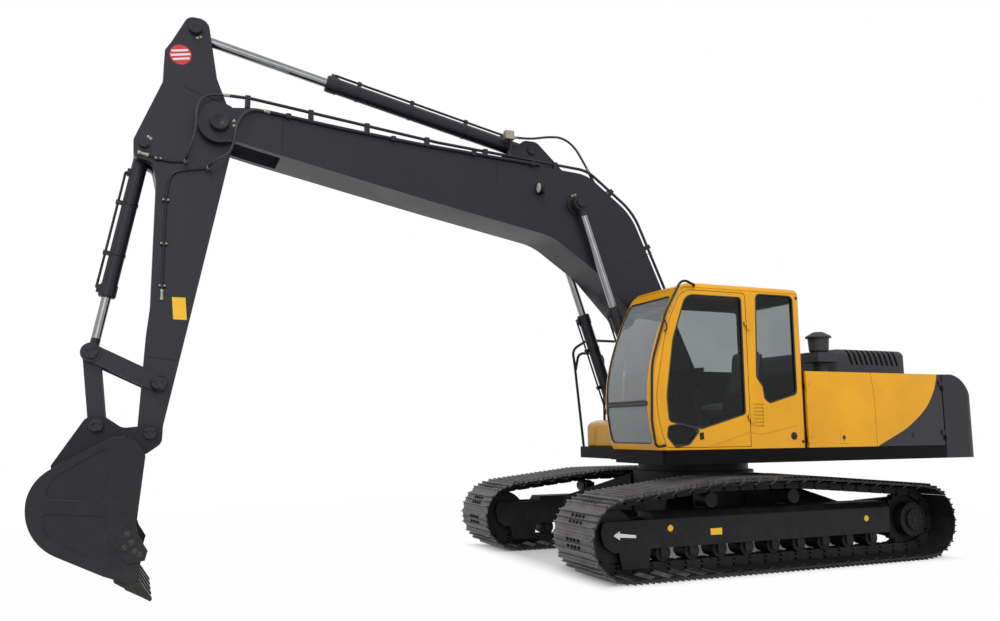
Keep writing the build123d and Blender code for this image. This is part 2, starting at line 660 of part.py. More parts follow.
def cab_form(inset):
    """The cab's outer form, moved in from its skin by an inset."""
    with BuildPart(mode=Mode.PRIVATE) as form:
        plate(side(SIDE_Y - inset), CAB_SIDE, SIDE_Y - CAB_Y0 - 2 * inset, grow=-inset)
        chains = form.faces().filter_by(Axis.Y).edges()
        bottom = chains.group_by(Axis.Z)[0]
        fillet([edge for edge in chains if edge not in bottom], CAB_EDGE_R - inset)
    return form.part


DOOR_TOP = 2842
CAB_DOOR = (
    (DOOR_EDGE_X, CAB_Z0 + 26, 0), (1285, CAB_Z0 + 26, 60), (1405, 1660, 900), (1252, 2430, 1500),
    (1045, DOOR_TOP, 190), (DOOR_EDGE_X, DOOR_TOP, 40),
)
DOOR_WINDOW = (
    (305, 1575, 40), (860, 1425, 60), (1245, 1500, 60), (1262, 1760, 900), (1170, 2330, 1200),
    (1000, 2795, 150), (305, 2795, 40),
)
LEAF_WINDOW = (
    (880, 1412, 25), (1010, 1272, 60), (1175, 1240, 60), (1272, 1345, 60), (1255, 1452, 30),
    (1120, 1470, 200),
)
REAR_SIDE_WINDOW = (
    (-385, 2845, 60), (105, 2845, 60), (140, 1960, 60), (62, 1860, 30), (45, 1735, 40), (-20, 1690, 40),
    (-385, 1790, 60),
)
RIGHT_WINDOW = (
    (-385, 1800, 60), (1180, 1480, 60), (1262, 1760, 900), (1170, 2330, 1200), (1000, 2790, 150),
    (-385, 2790, 60),
)
# Front and rear panes: rows of (y, z, corner radius)
SCREEN_SPLIT_Z = 1680
WINDSHIELD = (
    (CAB_Y0 + 62, SCREEN_SPLIT_Z + 14, 10), (SIDE_Y - 85, SCREEN_SPLIT_Z + 14, 10),
    (SIDE_Y - 85, 2790, 60), (CAB_Y0 + 62, 2790, 60),
)
LOW_SCREEN = (
    (CAB_Y0 + 62, 1275, 60), (SIDE_Y - 85, 1275, 60), (SIDE_Y - 85, SCREEN_SPLIT_Z - 14, 10),
    (CAB_Y0 + 62, SCREEN_SPLIT_Z - 14, 10),
)
REAR_WINDOW = (
    (CAB_Y0 + 90, 1950, 60), (SIDE_Y - 90, 1950, 60), (SIDE_Y - 90, 2790, 60), (CAB_Y0 + 90, 2790, 60),
)
LEFT_CUT = (side(SIDE_Y + 5), CAB_WALL + 20)
RIGHT_CUT = (side(CAB_Y0 + CAB_WALL + 15), CAB_WALL + 20)
FRONT_CUT = (Plane.YZ.offset(900), 650)
REAR_CUT = (Plane.YZ.offset(CAB_REAR_X - 5), CAB_WALL + 20)
# Cab door hinge axis, outside the skin, with rows of knuckle heights
DOOR_HINGE = (DOOR_EDGE_X - 5, SIDE_Y + 18)
DOOR_KNUCKLE_ZS = (1520, 2500)
DOOR_KNUCKLE_H = 40

cab_skin = cab_form(0)
cab_hollow = cab_form(CAB_WALL)
glass_outside = cab_form(GLASS_IN)
glass_inside = cab_form(GLASS_IN + GLASS_T)

with BuildPart() as cab_shell:
    add(cab_skin)
    add(cab_hollow, mode=Mode.SUBTRACT)
    block(-2000, 2000, 0, 2000, ROOF_SPLIT_Z, 3500, mode=Mode.SUBTRACT)
    plate(LEFT_CUT[0], CAB_DOOR, LEFT_CUT[1], mode=Mode.SUBTRACT, grow=SEAM)
    plate(LEFT_CUT[0], REAR_SIDE_WINDOW, LEFT_CUT[1], mode=Mode.SUBTRACT)
    plate(RIGHT_CUT[0], RIGHT_WINDOW, RIGHT_CUT[1], mode=Mode.SUBTRACT)
    plate(FRONT_CUT[0], WINDSHIELD, FRONT_CUT[1], mode=Mode.SUBTRACT)
    plate(FRONT_CUT[0], LOW_SCREEN, FRONT_CUT[1], mode=Mode.SUBTRACT)
    plate(REAR_CUT[0], REAR_WINDOW, REAR_CUT[1], mode=Mode.SUBTRACT)
    for k in range(7):
        z = 1440 + 37 * k
        block(70, 195, SIDE_Y - 8, SIDE_Y + 5, z, z + 16, mode=Mode.SUBTRACT)
    for z in DOOR_KNUCKLE_ZS:
        with Locations((*DOOR_HINGE, z - DOOR_KNUCKLE_H / 2 - SEAT_CLEAR)):
            Cylinder(HINGE_R, DOOR_KNUCKLE_H)
        block(DOOR_HINGE[0] - 34, DOOR_HINGE[0], SIDE_Y - 2, DOOR_HINGE[1],
              z - SEAT_CLEAR - DOOR_KNUCKLE_H, z - SEAT_CLEAR)

with BuildPart() as cab_roof:
    add(cab_skin)
    add(cab_hollow, mode=Mode.SUBTRACT)
    block(-2000, 2000, 0, 2000, 1000, ROOF_SPLIT_Z + 3, mode=Mode.SUBTRACT)

with BuildPart() as cab_door:
    add(cab_skin)
    add(cab_hollow, mode=Mode.SUBTRACT)
    plate(LEFT_CUT[0], CAB_DOOR, LEFT_CUT[1], mode=Mode.INTERSECT)
    plate(LEFT_CUT[0], DOOR_WINDOW, LEFT_CUT[1], mode=Mode.SUBTRACT)
    plate(LEFT_CUT[0], LEAF_WINDOW, LEFT_CUT[1], mode=Mode.SUBTRACT)
    for z in DOOR_KNUCKLE_ZS:
        with Locations((*DOOR_HINGE, z + DOOR_KNUCKLE_H / 2)):
            Cylinder(HINGE_R, DOOR_KNUCKLE_H)
        block(DOOR_HINGE[0], DOOR_HINGE[0] + 34, SIDE_Y - 2, DOOR_HINGE[1], z, z + DOOR_KNUCKLE_H)

with BuildPart() as glass_skin:
    add(glass_outside)
    add(glass_inside, mode=Mode.SUBTRACT)

with BuildPart() as door_glass:
    add(glass_skin.part)
    plate(LEFT_CUT[0], DOOR_WINDOW, LEFT_CUT[1], mode=Mode.INTERSECT)
with BuildPart() as leaf_glass:
    add(glass_skin.part)
    plate(LEFT_CUT[0], LEAF_WINDOW, LEFT_CUT[1], mode=Mode.INTERSECT)
with BuildPart() as side_glass:
    add(glass_skin.part)
    plate(LEFT_CUT[0], REAR_SIDE_WINDOW, LEFT_CUT[1], mode=Mode.INTERSECT)
with BuildPart() as right_glass:
    add(glass_skin.part)
    plate(RIGHT_CUT[0], RIGHT_WINDOW, RIGHT_CUT[1], mode=Mode.INTERSECT)
with BuildPart() as rear_glass:
    add(glass_skin.part)
    plate(REAR_CUT[0], REAR_WINDOW, REAR_CUT[1], mode=Mode.INTERSECT)
with BuildPart() as windshield:
    add(glass_skin.part)
    plate(FRONT_CUT[0], WINDSHIELD, FRONT_CUT[1], mode=Mode.INTERSECT)
with BuildPart() as low_screen:
    add(glass_skin.part)
    plate(FRONT_CUT[0], LOW_SCREEN, FRONT_CUT[1], mode=Mode.INTERSECT)

# Seat with suspension block, cushion, back and headrest, and the two control consoles beside it
CAB_FLOOR = CAB_Z0 + CAB_WALL
SEAT_MID_Y = (CAB_Y0 + SIDE_Y) / 2
with BuildPart() as operator_seat:
    plate(side(SEAT_MID_Y + 190), square((
        (-120, CAB_FLOOR), (300, CAB_FLOOR), (260, CAB_FLOOR + 300), (-80, CAB_FLOOR + 300),
    )), 380)
    plate(side(SEAT_MID_Y + 240), (
        (-140, CAB_FLOOR + 290, 30), (370, CAB_FLOOR + 300, 50), (385, CAB_FLOOR + 430, 60),
        (50, CAB_FLOOR + 410, 60), (-70, CAB_FLOOR + 1010, 50), (-175, CAB_FLOOR + 1000, 50),
    ), 480)
    plate(side(SEAT_MID_Y + 130), (
        (-150, CAB_FLOOR + 990, 0), (-80, CAB_FLOOR + 990, 0), (-95, CAB_FLOOR + 1220, 30),
        (-175, CAB_FLOOR + 1210, 30),
    ), 260)

with BuildPart() as control_consoles:
    for y in (SEAT_MID_Y + 310, SEAT_MID_Y - 250):
        plate(side(y), (
            (-120, CAB_FLOOR, 0), (330, CAB_FLOOR, 0), (430, CAB_FLOOR + 470, 40), (380, CAB_FLOOR + 540, 40),
            (-120, CAB_FLOOR + 540, 40),
        ), 60)
        with Locations((370, y - 30, CAB_FLOOR + 580)):
            Cylinder(16, 160)

# Hoses across the arm's joint and behind the arm cylinder, as cords through chosen points
PORT_Y = ARM_W / 2 + PORT_H
TOP_PIPE_Y = BOOM_W / 2 - 30
EDGE_PIPE_Y = BOOM_W / 2 + 20
BOW_Y = BOOM_W / 2 + 141
HOSES = {
    # (x, y, z) of each point
    "hose_a": ((5440, TOP_PIPE_Y, 4690), (5590, TOP_PIPE_Y, 4690), (5710, BOW_Y - 111, 4605),
               (5750, BOW_Y - 26, 4450), (5745, BOW_Y, 4250), (5790, BOW_Y, 4075), (5818, BOW_Y - 91, 3992),
               (5818, PORT_Y + SEAT_CLEAR, 3992)),
    "hose_b": ((5060, EDGE_PIPE_Y, 4560), (5200, EDGE_PIPE_Y, 4574), (5320, BOW_Y - 61, 4490),
               (5385, BOW_Y - 9, 4340), (5400, BOW_Y + 3, 4170), (5440, BOW_Y + 5, 4050),
               (5540, BOW_Y + 3, 3985), (5612, BOW_Y - 91, 3945), (5612, PORT_Y + SEAT_CLEAR, 3945)),
    "hose_c": ((2400, 175, 4690), (2180, 175, 4690), (1960, 185, 4745), (1760, 180, 4765), (1600, 165, 4680),
               (1490, 150, 4540), (1400, 140, 4400)),
}
PORTS = [(HOSES[name][-1][0], HOSES[name][-1][2]) for name in ("hose_a", "hose_b")]


def bend_radii(points):
    """0.45 of the shorter run over the tangent of half the turn, for each corner of a route."""
    radii = []
    for before, here, after in zip(points, points[1:], points[2:]):
        run_in = Vector(here) - Vector(before)
        run_out = Vector(after) - Vector(here)
        turn = run_in.get_angle(run_out)
        radii.append(0.45 * min(run_in.length, run_out.length) / tan(turn * pi / 360))
    return radii


# Rigid pipes on the boom: over its back to the foot, along its near edge, and on from the third hose
PIPES = (
    # (x, y, z) of each point, then the corner radii
    (((5440 - SEAT_CLEAR, TOP_PIPE_Y, 4690), (5230, TOP_PIPE_Y, 4690), (3300, TOP_PIPE_Y, 4487),
      (1479, TOP_PIPE_Y, 4379), (882, TOP_PIPE_Y, 3939), (341, TOP_PIPE_Y, 2755)), (400, 900, 400, 700)),
    (((5060 - SEAT_CLEAR, EDGE_PIPE_Y, 4560), (4360, EDGE_PIPE_Y, 4490), (3510, EDGE_PIPE_Y, 4428),
      (2107, EDGE_PIPE_Y, 4362)), (900, 900)),
    (((1400 - SEAT_CLEAR, 140, 4400 - 2 * SEAT_CLEAR), (1330, 132, 4280), (882, 132, 3939), (341, 132, 2755)),
     (150, 700)),
)
# Clamps over the top pipe, and over both pipes on the boom's back
CLAMPS = (
    # x, z of the pipe, way into the boom (x, z), y from
    (5270, 4690, 0, -1, TOP_PIPE_Y - 24),
    (4650, 4629, 0, -1, TOP_PIPE_Y - 24),
    (4070, 4568, 0, -1, TOP_PIPE_Y - 24),
    (3420, 4500, 0, -1, TOP_PIPE_Y - 24),
    (2750, 4455, 0, -1, TOP_PIPE_Y - 24),
    (1900, 4404, 0, -1, TOP_PIPE_Y - 24),
    (1180, 4159, 0.593, -0.805, 108),
    (700, 3541, 0.909, -0.416, 108),
    (400, 2884, 0.909, -0.416, 108),
)
SIDE_CLAMPS = ((4880, 4542), (3800, 4449), (2900, 4399), (2200, 4366))

# Boom: hollow box with a bent back, fork at its tip and bosses at its pins
BOOM_SIDE = (
    # x, z, corner radius
    (FOOT[0] - 160, FOOT[1] + 20, 90),
    (FOOT[0] - 60, FOOT[1] - 160, 90),
    (FOOT[0] + 150, FOOT[1] - 90, 90),
    (960, 2735, 0),
    (1400, 3190, 500),
    (1950, 3560, 700),
    (3300, 3810, 1500),
    (ARM_PIN[0] - 400, ARM_PIN[1] - 225, 0),
    (ARM_PIN[0] - 110, ARM_PIN[1] - 160, 0),
    (ARM_PIN[0] - 110, ARM_PIN[1] + 160, 0),
    (ARM_PIN[0] - 340, ARM_PIN[1] + 190, 300),
    (3300, 4425, 3000),
    (1500, 4320, 420),
    (930, 3900, 700),
)
ARM_FORK_X = ARM_PIN[0] - 600
BOOM_TIP_Y = BOOM_W / 2 + 60
with BuildPart() as boom:
    plate(side(BOOM_W / 2), BOOM_SIDE, BOOM_W)
    disc(ARM_PIN, 200, BOOM_W / 2, BOOM_W)
    plate(side(BOOM_W / 2 - BOOM_PLATE), BOOM_SIDE[:7] + (
        (ARM_FORK_X - 40, ARM_PIN[1] - 263, 0), (ARM_FORK_X - 40, ARM_PIN[1] + 168, 0),
    ) + BOOM_SIDE[11:], BOOM_W - 2 * BOOM_PLATE, mode=Mode.SUBTRACT, grow=-BOOM_PLATE)
    block(ARM_FORK_X, ARM_PIN[0] + 470, -ARM_W / 2 - ARM_GAP, ARM_W / 2 + ARM_GAP,
          ARM_PIN[1] - 500, ARM_PIN[1] + 400, mode=Mode.SUBTRACT)
    for y in (ARM_CYL_EAR_Y + 34, -ARM_CYL_EAR_Y):
        plate(side(y), (
            (1640, 4300, 0), (ARM_CYL_BASE[0] - 60, ARM_CYL_BASE[1] + 110, 110),
            (ARM_CYL_BASE[0] + 90, ARM_CYL_BASE[1] + 110, 90), (2460, 4500, 200), (2620, 4370, 0),
        ), 34)
    for y in (ARM_CYL_EAR_Y + 5, -61):
        disc(ARM_CYL_BASE, 80, y, ARM_CYL_EAR_Y + 5 - 61)
    disc(ARM_CYL_BASE, LINKAGE_PIN_R, ARM_CYL_EAR_Y + 42, 2 * (ARM_CYL_EAR_Y + 42))
    for y in (BOOM_W / 2 + 22, -BOOM_W / 2):
        disc(LIFT_PIN, 120, y, 22)
    for y in (BOOM_W / 2 + 49, -BOOM_W / 2):
        disc(FOOT, 125, y, 49)
    for y in (BOOM_TIP_Y, -BOOM_W / 2):
        disc(ARM_PIN, 95, y, 60)
    disc(FOOT, FOOT_PIN_R, BOOM_W / 2 + 125, BOOM_W + 250)
    disc(ARM_PIN, ARM_PIN_R, BOOM_TIP_Y, 2 * BOOM_TIP_Y)
    for points, radii in PIPES:
        with BuildLine() as pipe_line:
            FilletPolyline(*points, radius=radii)
        with BuildSketch(Plane(origin=pipe_line.line @ 0, z_dir=pipe_line.line % 0)):
            Circle(PIPE_R)
        sweep(path=pipe_line.line)
    for x, z, way_x, way_z, y0 in CLAMPS:
        outer = (x - 22 * way_x, z - 22 * way_z)
        inner = (x + 100 * way_x, z + 100 * way_z)
        plate(side(TOP_PIPE_Y + 26), square((
            (outer[0] + 25 * way_z, outer[1] - 25 * way_x), (outer[0] - 25 * way_z, outer[1] + 25 * way_x),
            (inner[0] - 25 * way_z, inner[1] + 25 * way_x), (inner[0] + 25 * way_z, inner[1] - 25 * way_x),
        )), TOP_PIPE_Y + 26 - y0)
    for x, z in SIDE_CLAMPS:
        block(x - 25, x + 25, BOOM_W / 2 - 5, EDGE_PIPE_Y + 22, z - 24, z + 24)
    block(HOSES["hose_c"][0][0] + SEAT_CLEAR, HOSES["hose_c"][0][0] + 30, 140, 205, 4370, 4720)


def axis_plane(base, eye):
    """Plane at the base pin whose Z axis runs to the rod's eye."""
    return Plane(origin=(base[0], 0, base[1]), x_dir=(0, 1, 0), z_dir=(eye[0] - base[0], 0, eye[1] - base[1]))


def along(base, eye, y, radius, start, end, mode=Mode.ADD):
    """Round bar along a cylinder's axis between two distances from its base pin."""
    with BuildSketch(axis_plane(base, eye).offset(start)) as section:
        with Locations((y, 0)):
            Circle(radius)
    extrude(section.sketch, amount=end - start, mode=mode)


CYLINDERS = {
    # base pin, rod eye, barrel end, rod start, radii of barrel, rod and eye, eye width, base pin radius
    "lift": (LIFT_BASE, LIFT_PIN, 1525, 1080, 68, 43, 84, LIFT_EYE_W, 40),
    "arm": (ARM_CYL_BASE, ARM_TOP, 2380, 1750, 82, 48, 95, 120, LINKAGE_PIN_R),
    "bucket": (BUCKET_CYL_BASE, LINK_PIN, 1480, 600, 70, 42, 84, 104, 42),
}


NECK = 20


def barrel(name, y):
    base, eye, end, start, radius, rod, eye_r, eye_w, pin = CYLINDERS[name]
    disc(base, eye_r, y + eye_w / 2, eye_w)
    with BuildSketch(axis_plane(base, eye)) as neck:
        with Locations((y, 0)):
            Rectangle(eye_w, 1.5 * radius)
    extrude(neck.sketch, amount=eye_r + NECK + 6)
    along(base, eye, y, radius, eye_r + NECK, end)
    along(base, eye, y, radius + 8, end - 120, end - 10)
    along(base, eye, y, rod + 0.5, eye_r + NECK + 40, end + 10, mode=Mode.SUBTRACT)
    disc(base, pin + PIN_CLEAR, y + eye_w / 2 + 20, eye_w + 40, mode=Mode.SUBTRACT)


def rod(name, y):
    base, eye, end, start, radius, rod_r, eye_r, eye_w, pin = CYLINDERS[name]
    along(base, eye, y, rod_r, start, hypot(eye[0] - base[0], eye[1] - base[1]) - eye_r * 0.4)
    disc(eye, eye_r, y + eye_w / 2, eye_w)


with BuildPart() as lift_barrels:
    barrel("lift", LIFT_Y)
    mirror(about=Plane.XZ)
with BuildPart() as lift_rods:
    rod("lift", LIFT_Y)
    disc(LIFT_PIN, 55, LIFT_Y + LIFT_EYE_W / 2 + 14, 20)
    mirror(about=Plane.XZ)
with BuildPart() as arm_cylinder_barrel:
    barrel("arm", 0)
with BuildPart() as arm_cylinder_rod:
    rod("arm", 0)
with BuildPart() as bucket_cylinder_barrel:
    barrel("bucket", 0)
with BuildPart() as bucket_cylinder_rod:
    rod("bucket", 0)

# Arm: hollow box with cheeks for both cylinders, and pin bosses
ARM_SIDE = (
    # x, z, corner radius
    (ARM_TOP[0] - 118, ARM_TOP[1] + 112, 108),
    (ARM_TOP[0] + 70, ARM_TOP[1] + 120, 90),
    (ARM_TOP[0] + 220, ARM_TOP[1] - 185, 40),
    (ARM_TOP[0] + 268, ARM_TOP[1] - 265, 50),
    (ARM_PIN[0] + 520, ARM_PIN[1] + 370, 100),
    (BUCKET_CYL_BASE[0] + 95, BUCKET_CYL_BASE[1] + 30, 60),
    (BUCKET_CYL_BASE[0] + 85, BUCKET_CYL_BASE[1] - 135, 60),
    (BUCKET_CYL_BASE[0] - 78, BUCKET_CYL_BASE[1] - 170, 60),
    (BUCKET_CYL_BASE[0] - 120, BUCKET_CYL_BASE[1] - 350, 150),
    (IDLE_PIN[0] + 98, IDLE_PIN[1] + 730, 500),
    (IDLE_PIN[0] + 122, IDLE_PIN[1] + 460, 400),
    (BUCKET_PIN[0] + 108, BUCKET_PIN[1], 0),
    (BUCKET_PIN[0] + 108, BUCKET_PIN[1] - 108, 107),
    (BUCKET_PIN[0] - 108, BUCKET_PIN[1] - 108, 107),
    (BUCKET_PIN[0] - 108, BUCKET_PIN[1] + 60, 200),
    (IDLE_PIN[0] - 232, IDLE_PIN[1] + 510, 400),
    (ARM_PIN[0] - 50, ARM_PIN[1] - 670, 400),
    (ARM_PIN[0] - 128, ARM_PIN[1] - 250, 200),
    (ARM_PIN[0] - 125, ARM_PIN[1] + 80, 200),
    (ARM_PIN[0] + 30, ARM_PIN[1] + 470, 60),
)
ARM_BOX = (
    (BUCKET_CYL_BASE[0] - 135, BUCKET_CYL_BASE[1] - 430, 0), (IDLE_PIN[0] + 80, IDLE_PIN[1] + 630, 0),
    (IDLE_PIN[0] + 105, IDLE_PIN[1] + 280, 0), (IDLE_PIN[0] - 155, IDLE_PIN[1] + 280, 0),
    (ARM_PIN[0] - 20, ARM_PIN[1] - 700, 0),
)
ARM_MID_BOX = (
    (ARM_PIN[0] - 30, ARM_PIN[1] - 660, 0), (BUCKET_CYL_BASE[0] - 140, BUCKET_CYL_BASE[1] - 390, 0),
    (BUCKET_CYL_BASE[0] - 120, BUCKET_CYL_BASE[1] - 270, 0), (ARM_PIN[0] + 490, ARM_PIN[1] - 120, 0),
    (ARM_PIN[0] + 160, ARM_PIN[1] - 160, 0), (ARM_PIN[0] - 80, ARM_PIN[1] - 250, 0),
)
ARM_TOP_BOX = (
    (ARM_PIN[0] + 90, ARM_PIN[1] + 220, 0), (ARM_PIN[0] + 510, ARM_PIN[1] + 140, 0),
    (ARM_TOP[0] + 250, ARM_TOP[1] - 450, 0), (ARM_TOP[0] + 220, ARM_TOP[1] - 280, 0),
    (ARM_TOP[0] - 50, ARM_TOP[1] - 280, 0),
)
# Slots for the eyes of both cylinders: x from, x to, z from, z to
EYE_SLOTS = (
    (ARM_TOP[0] - 280, ARM_TOP[0] + 240, ARM_TOP[1] - 190, ARM_TOP[1] + 200),
    (BUCKET_CYL_BASE[0] - 100, BUCKET_CYL_BASE[0] + 200, BUCKET_CYL_BASE[1] - 230, BUCKET_CYL_BASE[1] + 180),
)
ARM_CHEEK = (
    (ARM_PIN[0] - 130, ARM_PIN[1] + 80, 0), (ARM_PIN[0] + 25, ARM_PIN[1] + 450, 100),
    (ARM_TOP[0] - 90, ARM_TOP[1] - 220, 60), (ARM_TOP[0] + 20, ARM_TOP[1] - 125, 60),
    (ARM_TOP[0] + 120, ARM_TOP[1] - 120, 60), (ARM_TOP[0] + 280, ARM_TOP[1] - 230, 0),
    (ARM_TOP[0] + 280, ARM_TOP[1] + 250, 0), (ARM_PIN[0] - 230, ARM_TOP[1] + 250, 0),
)
with BuildPart() as arm:
    plate(side(ARM_W / 2), ARM_SIDE, ARM_W)
    for hollow in (ARM_BOX, ARM_MID_BOX, ARM_TOP_BOX):
        plate(side(ARM_W / 2 - ARM_PLATE), hollow, ARM_W - 2 * ARM_PLATE, mode=Mode.SUBTRACT)
    for y in (ARM_W / 2 + 1, -ARM_W / 2 + 6):
        plate(side(y), ARM_CHEEK, 7, mode=Mode.SUBTRACT)
    for x0, x1, z0, z1 in EYE_SLOTS:
        block(x0, x1, -ARM_EYE_SLOT, ARM_EYE_SLOT, z0, z1, mode=Mode.SUBTRACT)
    disc(ARM_PIN, ARM_PIN_R + PIN_CLEAR, ARM_W / 2 + 5, ARM_W + 10, mode=Mode.SUBTRACT)
    disc(BUCKET_CYL_BASE, 42, ARM_W / 2 + 30, ARM_W + 60)
    for y in (ARM_EYE_SLOT + 5, -53):
        disc(BUCKET_CYL_BASE, 70, y, ARM_EYE_SLOT + 5 - 53)
    for y in (ARM_W / 2 + 30, -ARM_EYE_SLOT):
        disc(ARM_TOP, 62, y, ARM_W / 2 + 30 - ARM_EYE_SLOT)
    for centre in (IDLE_PIN, BUCKET_PIN):
        disc(centre, LINKAGE_PIN_R, EAR_Y + EAR_T + 10, 2 * (EAR_Y + EAR_T + 10))
    for centre in PORTS:
        disc(centre, PORT_R, PORT_Y, PORT_H + 2)


def link_rows(start, end, radius):
    """Corners around two pins, rounded about both."""
    dx, dz = end[0] - start[0], end[1] - start[1]
    length = hypot(dx, dz)
    ux, uz = dx / length * radius, dz / length * radius
    return [
        (start[0] - ux - uz, start[1] - uz + ux, radius * 0.99),
        (end[0] + ux - uz, end[1] + uz + ux, radius * 0.99),
        (end[0] + ux + uz, end[1] + uz - ux, radius * 0.99),
        (start[0] - ux + uz, start[1] - uz - ux, radius * 0.99),
    ]


# Linkage: two idler links outside the arm, and the power link between them and the bucket's ears
LINK_T = 42
LINK_Y = ARM_W / 2 + ARM_GAP + LINK_T
STUB_Y = 60
with BuildPart() as idler_links:
    plate(side(LINK_Y), link_rows(IDLE_PIN, LINK_PIN, 78), LINK_T,
          holes=((*IDLE_PIN, LINKAGE_PIN_R + PIN_CLEAR),))
    disc(LINK_PIN, 88, LINK_Y + 8, 20)
    disc(LINK_PIN, LINKAGE_PIN_R, LINK_Y + 18, LINK_Y + 18 - STUB_Y)
    mirror(about=Plane.XZ)

POWER_Y = ARM_W / 2 - 2
POWER_T = 60
with BuildPart() as power_link:
    plate(side(POWER_Y), link_rows(LINK_PIN, HOOK_PIN, 72), POWER_T,
          holes=((*LINK_PIN, LINKAGE_PIN_R + PIN_CLEAR),))
    mirror(about=Plane.XZ)
    disc(HOOK_PIN, 72, POWER_Y, 2 * POWER_Y)
    plate(side(POWER_Y), square((
        (LINK_PIN[0] - 50, 1880), (LINK_PIN[0] + 20, 1880),
        (LINK_PIN[0] - 40, 1620), (LINK_PIN[0] - 100, 1620),
    )), 2 * POWER_Y)

# Bucket: rolled shell with ribbed sides, torsion beam, ears, side cutters and five teeth on the lip
BUCKET_SIDE = (
    # x, z, corner radius
    (6100, 640, 0),
    (6052, 1235, 60),
    (BUCKET_PIN[0] + 110, BUCKET_PIN[1] - 75, 70),
    (BUCKET_PIN[0] + 205, BUCKET_PIN[1] - 28, 60),
    (HOOK_PIN[0] - 130, HOOK_PIN[1] - 104, 60),
    (6945, 1035, 350),
    (6945, 540, 450),
    (6340, 240, 0),
    (6130, 160, 0),
    (6060, 190, 0),
    (6045, 470, 0),
)
BUCKET_HOLLOW = (
    (5900, 1215, 0),
    (6130, 1215, 0),
    (HOOK_PIN[0] - 170, HOOK_PIN[1] - 140, 60),
    (HOOK_PIN[0] - 60, HOOK_PIN[1] - 178, 0),
    (6945 - BUCKET_SHEET, 1010, 320),
    (6945 - BUCKET_SHEET, 560, 400),
    (6340, 275, 0),
    (6120, 200, 0),
    (5900, 200, 0),
)
SIDE_RIBS = (
    ((6335, 842, 30), (6800, 890, 30), (6790, 1040, 160), (6400, 1285, 60), (6335, 1300, 30)),
    ((6335, 735, 30), (6820, 775, 30), (6790, 570, 200), (6400, 372, 60), (6350, 372, 30)),
)
TOOTH_YS = [270 * (k - 2) for k in range(5)]
TOOTH_SIDE = square(((6270, 245), (6105, 262), (6030, 150), (5948, 22), (5962, 6), (6060, 62), (6250, 178)))
with BuildPart() as bucket:
    plate(side(BUCKET_W / 2), BUCKET_SIDE, BUCKET_W)
    plate(side(BUCKET_W / 2 - BUCKET_SHEET), BUCKET_HOLLOW, BUCKET_W - 2 * BUCKET_SHEET, mode=Mode.SUBTRACT)
    for rib in SIDE_RIBS:
        for y in (BUCKET_W / 2 + 1, -BUCKET_W / 2 + 10):
            plate(side(y), rib, 11, mode=Mode.SUBTRACT)
    for y in (EAR_Y + EAR_T, -EAR_Y):
        plate(side(y), (
            (BUCKET_PIN[0] - 100, BUCKET_PIN[1] + 85, 90), (6250, 1468, 100),
            (HOOK_PIN[0] - 40, HOOK_PIN[1] + 95, 70),
            (HOOK_PIN[0] + 90, HOOK_PIN[1] + 70, 80), (6800, 1150, 30), (6790, 1105, 0),
            (HOOK_PIN[0] - 40, HOOK_PIN[1] - 172, 0), (BUCKET_PIN[0] + 140, BUCKET_PIN[1] - 120, 0),
            (6060, 1225, 40), (BUCKET_PIN[0] - 105, BUCKET_PIN[1] - 90, 90),
        ), EAR_T, holes=((*BUCKET_PIN, LINKAGE_PIN_R + PIN_CLEAR),))
    for y in (EAR_Y + EAR_T + 16, -EAR_Y - EAR_T):
        disc(HOOK_PIN, 60, y, 16)
    for y in TOOTH_YS:
        plate(side(y + 45), TOOTH_SIDE, 90)
    for y in (BUCKET_W / 2 + 16, -BUCKET_W / 2):
        plate(side(y), square((
            (6185, 650), (6260, 470), (6150, 330), (6020, 350), (6000, 430), (6080, 560),
        )), 16)

with BuildPart() as hose_a:
    with BuildLine() as route_a:
        FilletPolyline(*HOSES["hose_a"], radius=bend_radii(HOSES["hose_a"]))
    with BuildSketch(Plane(origin=route_a.line @ 0, z_dir=route_a.line % 0)):
        Circle(HOSE_R)
    sweep(path=route_a.line)
with BuildPart() as hose_b:
    with BuildLine() as route_b:
        FilletPolyline(*HOSES["hose_b"], radius=bend_radii(HOSES["hose_b"]))
    with BuildSketch(Plane(origin=route_b.line @ 0, z_dir=route_b.line % 0)):
        Circle(HOSE_R)
    sweep(path=route_b.line)
with BuildPart() as hose_c:
    with BuildLine() as route_c:
        FilletPolyline(*HOSES["hose_c"], radius=bend_radii(HOSES["hose_c"]))
    with BuildSketch(Plane(origin=route_c.line @ 0, z_dir=route_c.line % 0)):
        Circle(HOSE_R)
    sweep(path=route_c.line)

